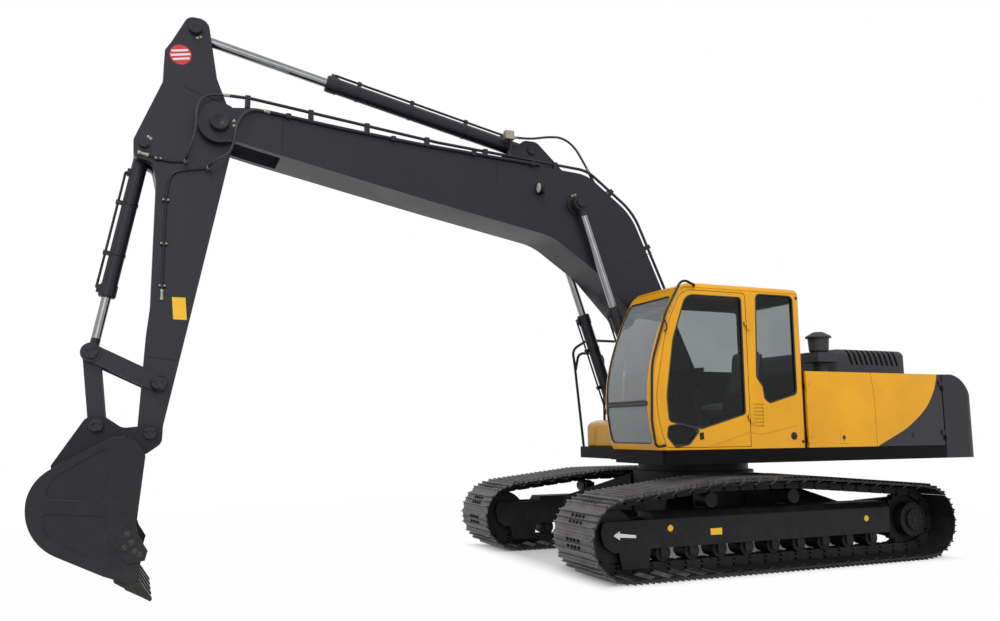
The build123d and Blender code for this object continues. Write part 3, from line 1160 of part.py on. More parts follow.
PARTS = {
    "car_body": car_body, "slew_ring": slew_ring, "track_frame_left": track_frame_left,
    "track_frame_right": track_frame_right, "track_left": track_left, "track_right": track_right,
    "front_idlers": front_idlers, "final_drives": final_drives, "track_rollers": track_rollers,
    "carrier_rollers": carrier_rollers, "swing_frame": swing_frame, "counterweight": counterweight,
    "engine_block": engine_block, "house_frame": house_frame, "left_front_door": left_front_door,
    "left_rear_door": left_rear_door, "pump_door": pump_door, "engine_hood": engine_hood,
    "hydraulic_tank": hydraulic_tank, "fuel_tank": fuel_tank, "tool_box": tool_box, "precleaner": precleaner,
    "exhaust_pipe": exhaust_pipe, "handrail": handrail, "cab_grab_rail": cab_grab_rail,
    "cab_shell": cab_shell,
    "cab_roof": cab_roof, "cab_door": cab_door, "door_glass": door_glass, "leaf_glass": leaf_glass,
    "side_glass": side_glass, "right_glass": right_glass, "rear_glass": rear_glass, "windshield": windshield,
    "low_screen": low_screen, "operator_seat": operator_seat, "control_consoles": control_consoles,
    "boom": boom, "lift_barrels": lift_barrels, "lift_rods": lift_rods,
    "arm_cylinder_barrel": arm_cylinder_barrel, "arm_cylinder_rod": arm_cylinder_rod,
    "bucket_cylinder_barrel": bucket_cylinder_barrel, "bucket_cylinder_rod": bucket_cylinder_rod,
    "arm": arm, "idler_links": idler_links, "power_link": power_link, "bucket": bucket,
    "hose_a": hose_a, "hose_b": hose_b, "hose_c": hose_c,
}
for name, route in (("hose_a", route_a), ("hose_b", route_b), ("hose_c", route_c)):
    length = sum(edge.length for edge in route.line.edges())
    print(name, "length", round(length), "radii", [round(r) for r in bend_radii(HOSES[name])],
          "volume ratio", round(PARTS[name].part.volume / (pi * HOSE_R ** 2 * length), 4))
for name, piece in PARTS.items():
    piece.part.label = name
    export_step(piece.part, f"parts/{name}.step")
    box = piece.part.bounding_box()
    corners = [round(v) for v in (*box.min, *box.max)]
    print(name, len(piece.part.solids()), corners, round(piece.part.volume / 1e9, 4))
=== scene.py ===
from math import atan2, cos, hypot, pi, radians, sin

import bmesh
import bpy
from mathutils import Matrix, Vector


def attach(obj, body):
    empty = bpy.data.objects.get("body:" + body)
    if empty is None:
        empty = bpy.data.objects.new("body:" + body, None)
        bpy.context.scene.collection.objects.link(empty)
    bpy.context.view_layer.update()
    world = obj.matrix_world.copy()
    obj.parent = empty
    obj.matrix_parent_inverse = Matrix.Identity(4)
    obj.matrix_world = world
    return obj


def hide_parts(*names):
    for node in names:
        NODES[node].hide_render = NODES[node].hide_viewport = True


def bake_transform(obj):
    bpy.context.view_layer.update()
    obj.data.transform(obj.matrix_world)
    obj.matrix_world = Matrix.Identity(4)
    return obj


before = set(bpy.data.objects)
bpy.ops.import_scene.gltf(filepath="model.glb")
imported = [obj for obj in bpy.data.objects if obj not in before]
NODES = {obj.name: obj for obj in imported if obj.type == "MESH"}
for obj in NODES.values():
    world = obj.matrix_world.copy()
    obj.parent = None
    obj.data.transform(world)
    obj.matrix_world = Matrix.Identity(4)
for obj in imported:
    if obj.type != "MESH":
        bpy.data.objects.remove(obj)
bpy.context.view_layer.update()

scene = bpy.context.scene

# Camera of the photograph: its turn, tilt and roll, and its place in the shared frame
YAW, PITCH, ROLL = 0.4042, 0.1352, -0.0076
CAMERA_AT = (6.1667, 8.7625, 1.4202)
ahead = Vector((-sin(YAW) * cos(PITCH), -cos(YAW) * cos(PITCH), sin(PITCH)))
flat_right = ahead.cross(Vector((0, 0, 1))).normalized()
flat_up = flat_right.cross(ahead)
right = flat_right * cos(ROLL) + flat_up * sin(ROLL)
up = flat_up * cos(ROLL) - flat_right * sin(ROLL)
camera_data = bpy.data.cameras.new("camera")
camera_data.sensor_width = 36
camera_data.lens = 31.157
camera_data.shift_x = -0.005
camera_data.shift_y = 0.0023
camera_data.clip_end = 200
camera = bpy.data.objects.new("camera", camera_data)
camera.matrix_world = Matrix((
    (right.x, up.x, -ahead.x, CAMERA_AT[0]),
    (right.y, up.y, -ahead.y, CAMERA_AT[1]),
    (right.z, up.z, -ahead.z, CAMERA_AT[2]),
    (0, 0, 0, 1),
))
scene.collection.objects.link(camera)
scene.camera = camera


# Pins of the linkage as in the CAD source: (x, z)
FOOT, LIFT_BASE, LIFT_PIN = (0.132, 1.785), (0.750, 1.350), (1.650, 3.950)
ARM_BASE, ARM_PIN, ARM_TOP = (2.125, 4.580), (5.530, 4.400), (5.780, 5.350)
BUCKET_BASE, IDLE_PIN, BUCKET_PIN = (6.190, 4.130), (5.970, 1.870), (6.020, 1.420)
LINK_PIN, HOOK_PIN = (6.540, 2.140), (6.460, 1.490)

# Colours used in more than one material
YELLOW, WORN_YELLOW = (0.76, 0.345, 0.003), (0.85, 0.42, 0.03)
CHARCOAL = (0.0132, 0.0128, 0.0192)
CASTING = (0.0145, 0.0150, 0.0185)
FRAME_BLACK = (0.0065, 0.0068, 0.0080)
DUST = (0.23, 0.19, 0.14)


class Nodes:
    """A node tree under construction: short calls for nodes and links."""

    def __init__(self, tree):
        self.tree = tree

    def node(self, kind, inputs=(), **settings):
        made = self.tree.nodes.new("ShaderNode" + kind)
        for key, value in settings.items():
            setattr(made, key, value)
        for key, value in dict(inputs).items():
            self.put(value, made.inputs[key])
        return made

    def put(self, value, socket):
        if isinstance(value, bpy.types.NodeSocket):
            self.tree.links.new(value, socket)
        elif socket.type == "RGBA":
            socket.default_value = (*value, 1)
        else:
            socket.default_value = value

    def math(self, operation, a, b=0.0):
        return self.node("Math", {0: a, 1: b}, operation=operation).outputs[0]

    def product(self, first, *others):
        for other in others:
            first = self.math("MULTIPLY", first, other)
        return first

    def blend(self, share, a, b):
        return self.node("MixShader", {0: share, 1: a, 2: b}).outputs[0]

    def seen_ray(self):
        """1 for rays from the camera, a mirroring face or a window, 0 for those that light the scene."""
        ray = self.node("LightPath").outputs
        passed = self.math("MAXIMUM", ray["Is Glossy Ray"], ray["Is Transmission Ray"])
        return self.math("MAXIMUM", ray["Is Camera Ray"], passed)


class Shader(Nodes):
    """A material under construction, with textures laid in the shared frame."""

    def __init__(self, name):
        self.material = bpy.data.materials.new(name)
        self.material.use_nodes = True
        super().__init__(self.material.node_tree)
        self.main = self.tree.nodes["Principled BSDF"]
        self.output = self.tree.nodes["Material Output"].inputs["Surface"]
        coords = self.node("TexCoord")
        self.place = coords.outputs["Object"]
        self.normal = coords.outputs["Normal"]

    def surface(self, inputs):
        """Puts values on the main shader and gives the material."""
        for key, value in inputs.items():
            self.put(value, self.main.inputs[key])
        return self.material

    def overlay(self, share, colour):
        """Lays another colour over the base colour and gives the material."""
        under = self.main.inputs["Base Color"].links[0].from_socket
        return self.surface({"Base Color": self.mix(share, under, colour)})

    def noise(self, scale, detail=4, rough=0.55):
        inputs = {"Vector": self.place, "Scale": scale, "Detail": detail, "Roughness": rough}
        return self.node("TexNoise", inputs).outputs["Fac"]

    def remap(self, value, low, high, to_low=0.0, to_high=1.0):
        inputs = {"Value": value, "From Min": low, "From Max": high, "To Min": to_low, "To Max": to_high}
        return self.node("MapRange", inputs).outputs["Result"]

    def mix(self, share, a, b):
        return self.node("Mix", {"Factor": share, 6: a, 7: b}, data_type="RGBA").outputs[2]

    def vector(self, operation, a, b):
        made = self.node("VectorMath", {0: a, 1: b}, operation=operation)
        return made.outputs["Value" if operation in ("DOT_PRODUCT", "DISTANCE") else "Vector"]

    def axis(self, vector, index):
        return self.node("SeparateXYZ", {"Vector": vector}).outputs[index]

    def rounded(self, radius):
        return self.node("Bevel", {"Radius": radius}, samples=4).outputs[0]

    def edges(self, width):
        """1 on outer edges, 0 on flat faces, from the difference of the rounded and the true normal."""
        true = self.node("NewGeometry").outputs["Normal"]
        return self.remap(self.vector("DOT_PRODUCT", self.rounded(width), true), 0.995, 0.86)

    def bump(self, height, strength, distance, before=None):
        inputs = {"Height": height, "Strength": strength, "Distance": distance}
        if before:
            inputs["Normal"] = before
        return self.node("Bump", inputs).outputs[0]


def painted(name, colour, rough=0.5, coat=0.0, dust=0.0, dust_z=(0.0, 1.0), wear=0.25,
            worn=(0.3, 0.3, 0.3), radius=0.004, metal=0.0, shine=0.25):
    """Sprayed steel: slight mottling, orange peel, worn edges, and dust that grows downwards."""
    s = Shader(name)
    blotch = s.noise(1.3, 6)
    deep, light = tuple(c * 0.88 for c in colour), tuple(min(1, c * 1.08) for c in colour)
    shade = s.mix(s.remap(blotch, 0.3, 0.7), deep, light)
    edge = s.product(s.edges(radius * 1.5), s.remap(s.noise(14, 5), 0.42, 0.7), wear)
    shade = s.mix(edge, shade, worn)
    grime = s.remap(s.noise(5.5, 8, 0.65), 0.35, 0.75)
    low = s.remap(s.axis(s.place, 2), dust_z[1], dust_z[0])
    facing = s.remap(s.axis(s.normal, 2), -0.2, 0.9, 0.35, 1.0)
    cover = s.product(grime, low, facing, dust)
    matt = s.remap(blotch, 0.3, 0.7, rough - 0.05, rough + 0.06)
    s.surface({
        "Base Color": s.mix(cover, shade, DUST),
        "Roughness": s.math("ADD", matt, s.math("MULTIPLY", cover, 0.5)),
        "Coat Weight": coat, "Coat Roughness": 0.12, "Specular IOR Level": shine, "Metallic": metal,
        "Normal": s.bump(s.noise(170, 2), 0.06, 0.002, s.rounded(radius)),
    })
    return s


def body_yellow(name, dust, wear):
    """Glossy body paint, with its dust growing from the cab's middle down to the deck."""
    return painted(name, YELLOW, rough=0.3, coat=0.2, dust=dust, dust_z=(1.2, 2.2), wear=wear,
                   worn=WORN_YELLOW)


def livery():
    """Body yellow that turns black behind a curve swept up towards the rear."""
    s = body_yellow("livery_yellow", 0.04, 0.0)
    curve = s.node("ValToRGB")
    ramp = curve.color_ramp
    ramp.interpolation = "B_SPLINE"
    # Points of the curve as (z, x), and the reach of x that the ramp's grey stands for
    rows = ((1.20, -1.44), (1.30, -1.70), (1.41, -1.95), (1.56, -2.19), (1.70, -2.33), (1.86, -2.43),
            (2.04, -2.49))
    low, high = rows[0][0], rows[-1][0]
    rear, span = -2.6, 1.4
    while len(ramp.elements) < len(rows):
        ramp.elements.new(1.0)
    for stop, (z, x) in zip(ramp.elements, rows):
        level = (x - rear) / span
        stop.position = (z - low) / (high - low)
        stop.color = (level, level, level, 1)
    s.put(s.remap(s.axis(s.place, 2), low, high), curve.inputs[0])
    border = s.math("ADD", s.math("MULTIPLY", curve.outputs[0], span), rear)
    return s.overlay(s.remap(s.math("SUBTRACT", border, s.axis(s.place, 0)), -0.002, 0.002), CASTING)


def cab_paint():
    """Body yellow outside, dark on the faces that look into the cab and on the bar between the screens."""
    s = body_yellow("cab_yellow", 0.03, 0.1)
    middle = (0.42, 0.93, 2.05)
    outward = s.vector("DOT_PRODUCT", s.vector("SUBTRACT", s.place, middle), s.normal)
    x, y, z = (s.axis(s.place, index) for index in range(3))
    bar = s.product(s.remap(z, 1.660, 1.662), s.remap(z, 1.698, 1.696), s.remap(x, 1.20, 1.21),
                    s.remap(y, 1.345, 1.340))
    inside = s.math("MAXIMUM", s.remap(outward, -0.02, -0.03), bar)
    return s.overlay(inside, (0.006, 0.006, 0.008))


def house_paint():
    """Frame black, with the hinge knuckles on the skin in body yellow in front of the livery curve."""
    s = painted("house_black", FRAME_BLACK, dust=0.1, dust_z=(0.0, 1.3), wear=0.0, shine=0.18)
    skin_y, curve_x = 1.3955, -2.45
    skin = s.math("GREATER_THAN", s.math("ABSOLUTE", s.axis(s.place, 1)), skin_y)
    before = s.math("GREATER_THAN", s.axis(s.place, 0), curve_x)
    return s.overlay(s.product(skin, before), YELLOW)


def worn_steel_painted_shade():
    """Track shoes: dark rusty steel, light worn edges, and painted shade: inward and end faces near black."""
    s = Shader("track_steel")
    patch = s.remap(s.noise(7, 8, 0.6), 0.3, 0.72)
    shade = s.mix(patch, (0.060, 0.057, 0.058), (0.190, 0.178, 0.177))
    bright = s.product(s.edges(0.010), s.remap(s.noise(22, 5), 0.3, 0.6), 0.6)
    shade = s.mix(bright, shade, (0.32, 0.305, 0.30))
    mud = s.product(s.remap(s.noise(3.1, 6), 0.5, 0.72), 0.5)
    shade = s.mix(mud, shade, (0.11, 0.095, 0.080))
    # Painted shade: faces turned towards the loop's middle, and shoe ends facing sideways, go near black
    from_middle = s.vector("SUBTRACT", s.place, (0, 0, 0.45))
    outward = s.vector("DOT_PRODUCT", from_middle, s.vector("MULTIPLY", s.normal, (1, 0, 1)))
    return s.surface({
        "Base Color": s.mix(s.remap(outward, 0.02, 0.25), (0.011, 0.011, 0.012), shade),
        "Metallic": 0.35, "Roughness": s.remap(patch, 0, 1, 0.42, 0.68),
        "Normal": s.bump(s.noise(90, 6), 0.25, 0.003, s.rounded(0.003)),
    })


def polished():
    """Chromed rod, a little uneven in tone and shine, with painted eyes around the three rod pins."""
    s = Shader("rod_chrome")
    flat = s.vector("MULTIPLY", s.place, (1, 0, 1))
    lift, arm, link = (s.vector("DISTANCE", flat, (x, 0, z)) for x, z in (LIFT_PIN, ARM_TOP, LINK_PIN))
    chrome = s.remap(s.math("MINIMUM", lift, s.math("MINIMUM", arm, link)), 0.150, 0.153)
    tone = s.noise(9, 3)
    eye = s.mix(tone, (0.013, 0.014, 0.017), (0.017, 0.018, 0.022))
    rod = s.mix(tone, (0.19, 0.195, 0.20), (0.30, 0.305, 0.31))
    matt = s.remap(s.noise(30, 4), 0.3, 0.7, 0.44, 0.54)
    return s.surface({
        "Base Color": s.mix(chrome, eye, rod), "Metallic": chrome, "Specular IOR Level": 0.25,
        "Roughness": s.math("SUBTRACT", matt, s.math("MULTIPLY", chrome, 0.34)),
    })


def glazing(name, bend, haze):
    """Smoked window glass that lets light through to the seat, with a share of dusty haze on it."""
    s = Shader(name)
    smoke = s.mix(s.remap(s.noise(2.0), 0.3, 0.7), (0.45, 0.475, 0.475), (0.50, 0.525, 0.525))
    s.surface({"Base Color": smoke, "Transmission Weight": 1, "IOR": bend,
               "Roughness": s.remap(s.noise(4.0), 0.3, 0.7, 0.01, 0.04)})
    pale = {"Color": (0.62, 0.64, 0.64)}
    dusty = s.blend(haze, s.main.outputs[0], s.node("BsdfDiffuse", pale).outputs[0])
    clear = s.node("BsdfTransparent", pale).outputs[0]
    s.put(s.blend(s.node("LightPath").outputs["Is Shadow Ray"], dusty, clear), s.output)
    return s.material


def rubber():
    """Matt hose rubber with a faint braid."""
    s = Shader("hose_rubber")
    return s.surface({
        "Base Color": s.mix(s.noise(40, 3), (0.008, 0.008, 0.008), (0.020, 0.019, 0.018)),
        "Roughness": 0.6, "Normal": s.bump(s.noise(260, 2), 0.2, 0.001),
    })


def fabric():
    """Seat cloth: fine weave in a mottled grey."""
    s = Shader("seat_fabric")
    weave = s.node("TexWave", {"Vector": s.place, "Scale": 140, "Distortion": 1.5}, wave_type="BANDS")
    return s.surface({
        "Base Color": s.mix(s.noise(6, 5), (0.055, 0.058, 0.068), (0.100, 0.104, 0.118)),
        "Roughness": 0.85, "Sheen Weight": 0.3, "Normal": s.bump(weave.outputs["Fac"], 0.3, 0.001),
    })


def sign_red():
    s = Shader("sign_red")
    return s.surface({"Base Color": (0.55, 0.02, 0.02),
                      "Roughness": s.remap(s.noise(8), 0.3, 0.7, 0.35, 0.5)})


PAINTS = {
    "charcoal": painted("boom_charcoal", CHARCOAL, rough=0.42, coat=0.06, dust=0.10, dust_z=(0.0, 2.5),
                        wear=0.3, worn=(0.07, 0.07, 0.07)),
    "bucket": painted("bucket_charcoal", (0.0115, 0.0108, 0.0150), rough=0.52, dust=0.16,
                      dust_z=(0.0, 1.6), wear=0.7, worn=(0.15, 0.14, 0.13)),
    "weight": painted("counterweight_paint", CASTING, rough=0.45, coat=0.06, dust=0.06,
                      dust_z=(1.0, 2.0), worn=(0.06, 0.06, 0.06)),
    "black": painted("frame_black", FRAME_BLACK, dust=0.16, dust_z=(0.0, 1.3), wear=0.2,
                     worn=(0.05, 0.045, 0.04), shine=0.18),
    "deck": painted("deck_black", (0.0018, 0.0018, 0.0026), dust=0.06, dust_z=(0.0, 1.3), wear=0.1,
                    worn=(0.03, 0.03, 0.03), shine=0.08),
    "pipe": painted("pipe_black", (0.008, 0.008, 0.009), rough=0.38, coat=0.1, wear=0.1, radius=0.002),
    "console": painted("console_plastic", (0.007, 0.007, 0.009), rough=0.55, wear=0.0),
    "engine": painted("engine_iron", (0.10, 0.10, 0.105), dust=0.3, dust_z=(1.2, 2.0)),
    "hood": painted("hood_plastic", (0.044, 0.044, 0.048), rough=0.62, dust=0.05, dust_z=(2.0, 2.4),
                    wear=0.1, worn=(0.06, 0.06, 0.06)),
    "yellow": body_yellow("body_yellow", 0.04, 0.15),
    "brass": painted("fitting_zinc", (0.33, 0.31, 0.25), rough=0.38, wear=0.3, radius=0.001, metal=0.8),
    "bolt": painted("bolt_steel", (0.05, 0.05, 0.05), rough=0.4, wear=0.6, radius=0.001, metal=0.6),
    "sign_yellow": painted("sign_yellow", (0.85, 0.47, 0.02), rough=0.4, coat=0.1, dust=0.1, wear=0.0),
    "sign_white": painted("sign_white", (0.75, 0.75, 0.73), rough=0.4, coat=0.1, dust=0.2, wear=0.0),
    "dark": painted("dark_trim", (0.0055, 0.0055, 0.0060), rough=0.7, wear=0.0, shine=0.12),
    "tooth": painted("tooth_steel", (0.026, 0.025, 0.024), dust=0.3, dust_z=(0.0, 0.5), wear=0.9,
                     worn=(0.22, 0.21, 0.20), metal=0.4),
    "lamp": painted("lamp_lens", (0.55, 0.56, 0.56), rough=0.12, coat=0.8, wear=0.0, radius=0.001),
}
MAT = {
    **{key: paint.material for key, paint in PAINTS.items()},
    "house": house_paint(), "livery": livery(), "cab": cab_paint(), "steel": worn_steel_painted_shade(),
    "chrome": polished(), "glass": glazing("glass", 1.22, 0.004),
    "windscreen": glazing("windscreen_glass", 1.45, 0.20), "rubber": rubber(), "fabric": fabric(),
    "sign_red": sign_red(),
}

DRESS = {
    "black": ("car_body", "track_frame_left", "track_frame_right", "front_idlers", "final_drives",
              "track_rollers", "carrier_rollers", "slew_ring"),
    "deck": ("swing_frame",),
    "house": ("house_frame",),
    "steel": ("track_left", "track_right"),
    "weight": ("counterweight",),
    "engine": ("engine_block",),
    "yellow": ("left_front_door", "fuel_tank", "hydraulic_tank", "tool_box"),
    "livery": ("left_rear_door", "pump_door"),
    "cab": ("cab_shell", "cab_roof", "cab_door"),
    "hood": ("engine_hood", "precleaner"),
    "pipe": ("exhaust_pipe", "handrail", "cab_grab_rail"),
    "glass": ("side_glass", "right_glass", "rear_glass", "door_glass", "leaf_glass"),
    "windscreen": ("windshield", "low_screen"),
    "rubber": ("hose_a", "hose_b", "hose_c"),
    "fabric": ("operator_seat",),
    "console": ("control_consoles",),
    "charcoal": ("boom", "arm", "idler_links", "power_link", "lift_barrels", "arm_cylinder_barrel",
                 "bucket_cylinder_barrel"),
    "bucket": ("bucket",),
    "chrome": ("lift_rods", "arm_cylinder_rod", "bucket_cylinder_rod"),
}
for key, names in DRESS.items():
    for name in names:
        for slot in NODES[name].material_slots:
            slot.material = MAT[key]


# Mesh helpers
def circle(bm, middle, across, over, radius, sides):
    """Vertices of a circle in the plane of two directions."""
    ways = [across * cos(2 * pi * k / sides) + over * sin(2 * pi * k / sides) for k in range(sides)]
    return [bm.verts.new(middle + way * radius) for way in ways]


def skin(bm, rings, capped=True):
    """Faces between neighbouring rings of vertices, and over both ends."""
    count = len(rings[0])
    for low, high in zip(rings, rings[1:]):
        for k in range(count):
            bm.faces.new((low[k], low[(k + 1) % count], high[(k + 1) % count], high[k]))
    if capped:
        bm.faces.new(rings[0][::-1])
        bm.faces.new(rings[-1])


def lathe(bm, base, way, rows, sides=24, hollow=False):
    """Round or many-sided piece along a direction from rows of (reach, radius); a hollow one is a ring."""
    base, way = Vector(base), Vector(way).normalized()
    across = way.orthogonal().normalized()
    over = way.cross(across)
    rings = [circle(bm, base + way * reach, across, over, radius, sides) for reach, radius in rows]
    skin(bm, rings + rings[:1] if hollow else rings, not hollow)


def bolt(bm, base, way, radius, height):
    """Hexagon head on a washer."""
    way = Vector(way).normalized()
    washer = ((-0.002, radius * 1.45), (radius * 0.18, radius * 1.45), (radius * 0.22, radius * 1.35))
    head = ((0, radius), (height * 0.8, radius), (height, radius * 0.85))
    lathe(bm, base, way, washer, 16)
    lathe(bm, Vector(base) + way * radius * 0.2, way, head, 6)


def bolt_circle(bm, pin, y, side, count, spread, size, start=0.0):
    """Bolts around an axis across the machine; size is the radius and the height of a head."""
    for k in range(count):
        turn = start + 2 * pi * k / count
        spot = (pin[0] + cos(turn) * spread, side * y, pin[1] + sin(turn) * spread)
        bolt(bm, spot, (0, side, 0), *size)


def slab(bm, outline, low, high, edge=0.003, make=lambda u, v, w: (u, w, v)):
    """Plate from an outline of (u, v) rows between two depths, with chamfered rims."""
    mid_u = sum(u for u, v in outline) / len(outline)
    mid_v = sum(v for u, v in outline) / len(outline)
    rings = []
    for depth, pull in ((low, edge), (low + edge, 0), (high - edge, 0), (high, edge)):
        ring = []
        for u, v in outline:
            share = 1 - pull / (hypot(u - mid_u, v - mid_v) or 1)
            spot = make(mid_u + (u - mid_u) * share, mid_v + (v - mid_v) * share, depth)
            ring.append(bm.verts.new(spot))
        rings.append(ring)
    skin(bm, rings)


def brick(bm, x0, x1, y0, y1, z0, z1, edge=0.003):
    slab(bm, ((x0, z0), (x1, z0), (x1, z1), (x0, z1)), y0, y1, edge)


def settle(bm, name, body, material, smooth=35):
    """Makes a piece from the mesh and lets it ride on a body."""
    bmesh.ops.recalc_face_normals(bm, faces=bm.faces)
    mesh = bpy.data.meshes.new(name)
    bm.to_mesh(mesh)
    bm.free()
    mesh.materials.append(MAT[material])
    mesh.shade_smooth()
    mesh.set_sharp_from_angle(angle=radians(smooth))
    piece = bpy.data.objects.new(name, mesh)
    scene.collection.objects.link(piece)
    if body:
        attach(piece, body)
    return piece


def rounded_outline(rows, steps=6):
    """Outline from rows of (u, v, radius), with an arc at each corner."""
    points = []
    count = len(rows)
    for k, (u, v, radius) in enumerate(rows):
        here = Vector((u, v))
        back = Vector(rows[k - 1][:2]) - here
        on = Vector(rows[(k + 1) % count][:2]) - here
        half = back.angle(on) / 2
        reach = min(radius / max(1e-6, abs(sin(half) / cos(half))), 0.48 * back.length, 0.48 * on.length)
        start, end = here + back.normalized() * reach, here + on.normalized() * reach
        for j in range(steps + 1):
            t = j / steps
            points.append(tuple(start * (1 - t) ** 2 + here * 2 * t * (1 - t) + end * t * t))
    return points


def route(points):
    """Points along the NURBS line that has these control points."""
    data = bpy.data.curves.new("route", "CURVE")
    data.dimensions = "3D"
    data.resolution_u = 12
    spline = data.splines.new("NURBS")
    spline.points.add(len(points) - 1)
    for target, point in zip(spline.points, points):
        target.co = (*point, 1)
    spline.order_u = 3
    spline.use_endpoint_u = True
    carrier = bpy.data.objects.new("route", data)
    scene.collection.objects.link(carrier)
    bpy.context.view_layer.update()
    mesh = bpy.data.meshes.new_from_object(carrier)
    line = [vertex.co.copy() for vertex in mesh.vertices]
    bpy.data.objects.remove(carrier)
    bpy.data.meshes.remove(mesh)
    return line


def tube(bm, line, radius, sides=14):
    """Tube along a line, its section carried on without twist."""
    line = [Vector(point) for point in line]
    across = (line[1] - line[0]).normalized().orthogonal().normalized()
    rings = []
    for k, point in enumerate(line):
        way = (line[min(k + 1, len(line) - 1)] - line[max(k - 1, 0)]).normalized()
        across = (across - way * across.dot(way)).normalized()
        rings.append(circle(bm, point, across, way.cross(across), radius, sides))
    skin(bm, rings)


# Hoses: control points repeated from the CAD source, in metres
PORT_TOP = 0.2143
HOSES = {
    "hose_a": ((5.440, 0.250, 4.690), (5.590, 0.250, 4.690), (5.710, 0.310, 4.605), (5.750, 0.395, 4.450),
               (5.745, 0.421, 4.250), (5.790, 0.421, 4.075), (5.818, 0.330, 3.992), (5.818, PORT_TOP, 3.992)),
    "hose_b": ((5.060, 0.300, 4.560), (5.200, 0.300, 4.574), (5.320, 0.360, 4.490), (5.385, 0.412, 4.340),
               (5.400, 0.424, 4.170), (5.440, 0.426, 4.050), (5.540, 0.424, 3.985), (5.612, 0.330, 3.945),
               (5.612, PORT_TOP, 3.945)),
    "hose_c": ((2.400, 0.175, 4.690), (2.180, 0.175, 4.690), (1.960, 0.185, 4.745), (1.760, 0.180, 4.765),
               (1.600, 0.165, 4.680), (1.490, 0.150, 4.540), (1.400, 0.140, 4.400)),
}
HOSE_R = 0.013
for name, points in HOSES.items():
    line = route(points)
    bm = bmesh.new()
    tube(bm, line, HOSE_R)
    if name == "hose_c":
        hose = settle(bm, "hydraulic_" + name, "boom", "rubber", 60)
    else:
        hose = settle(bm, "hydraulic_" + name, None, "rubber", 60)
        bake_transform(hose)
    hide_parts(name)

# Tracks: shoes, links and bushings on the pin line of the CAD model
GAUGE, SHOE_W, SHOES = 2.584, 0.800, 49
IDLER_X, SPROCKET_X, TRACK_R = 1.928, -1.900, 0.405
GROUSER_TIP, PLATE_TOP, PLATE_UNDER = 0.095, 0.069, 0.055
LINK_DOWN, LINK_W, LINK_GAP = 0.050, 0.046, 0.096
CARRIER_X, CARRIER_Z, CARRIER_R = (0.760, -0.290), 0.712, 0.080


def pin_places():
    """Places of the chain's pins, evenly spaced on the line around the wheels, as (x, z)."""
    circles = (
        (IDLER_X, TRACK_R, TRACK_R - GROUSER_TIP),
        (CARRIER_X[0], CARRIER_Z, CARRIER_R + LINK_DOWN),
        (CARRIER_X[1], CARRIER_Z, CARRIER_R + LINK_DOWN),
        (SPROCKET_X, TRACK_R, TRACK_R - GROUSER_TIP),
    )
    runs = []
    for i, (x0, z0, r0) in enumerate(circles):
        x1, z1, r1 = circles[(i + 1) % 4]
        normal = atan2(z1 - z0, x1 - x0) - pi / 2 - (r1 - r0) / hypot(x1 - x0, z1 - z0)
        start = Vector((x0 + r0 * cos(normal), z0 + r0 * sin(normal)))
        end = Vector((x1 + r1 * cos(normal), z1 + r1 * sin(normal)))
        runs.append((start, end, normal, Vector((x1, z1)), r1))
    turns = [(runs[(i + 1) % 4][2] - run[2]) % (2 * pi) for i, run in enumerate(runs)]
    total = sum((run[1] - run[0]).length + run[4] * turn for run, turn in zip(runs, turns))
    places = []
    for k in range(SHOES):
        s = k * total / SHOES
        for (start, end, normal, centre, radius), turn in zip(runs, turns):
            length = (end - start).length
            if s <= length:
                places.append(start + (end - start) * s / length)
                break
            s -= length
            if s <= radius * turn:
                angle = normal + s / radius
                places.append(centre + Vector((cos(angle), sin(angle))) * radius)
                break
            s -= radius * turn
    return places


# Section of a shoe: rows of (share of the pitch, height over the pin line)
SHOE = (
    (-0.20, 0.034), (-0.12, 0.044), (-0.02, 0.051), (0.035, 0.066), (0.125, PLATE_TOP), (0.145, 0.0925),
    (0.158, GROUSER_TIP), (0.178, GROUSER_TIP), (0.19, 0.0925), (0.215, PLATE_TOP), (0.465, PLATE_TOP),
    (0.482, 0.0925), (0.492, GROUSER_TIP), (0.510, GROUSER_TIP), (0.52, 0.0925), (0.54, PLATE_TOP),
    (0.79, PLATE_TOP), (0.808, 0.0925), (0.818, GROUSER_TIP), (0.838, GROUSER_TIP), (0.85, 0.0925),
    (0.872, PLATE_TOP), (0.955, PLATE_TOP), (0.985, 0.062), (0.985, PLATE_UNDER), (0.05, 0.050),
    (-0.02, 0.040), (-0.12, 0.034), (-0.20, 0.026),
)
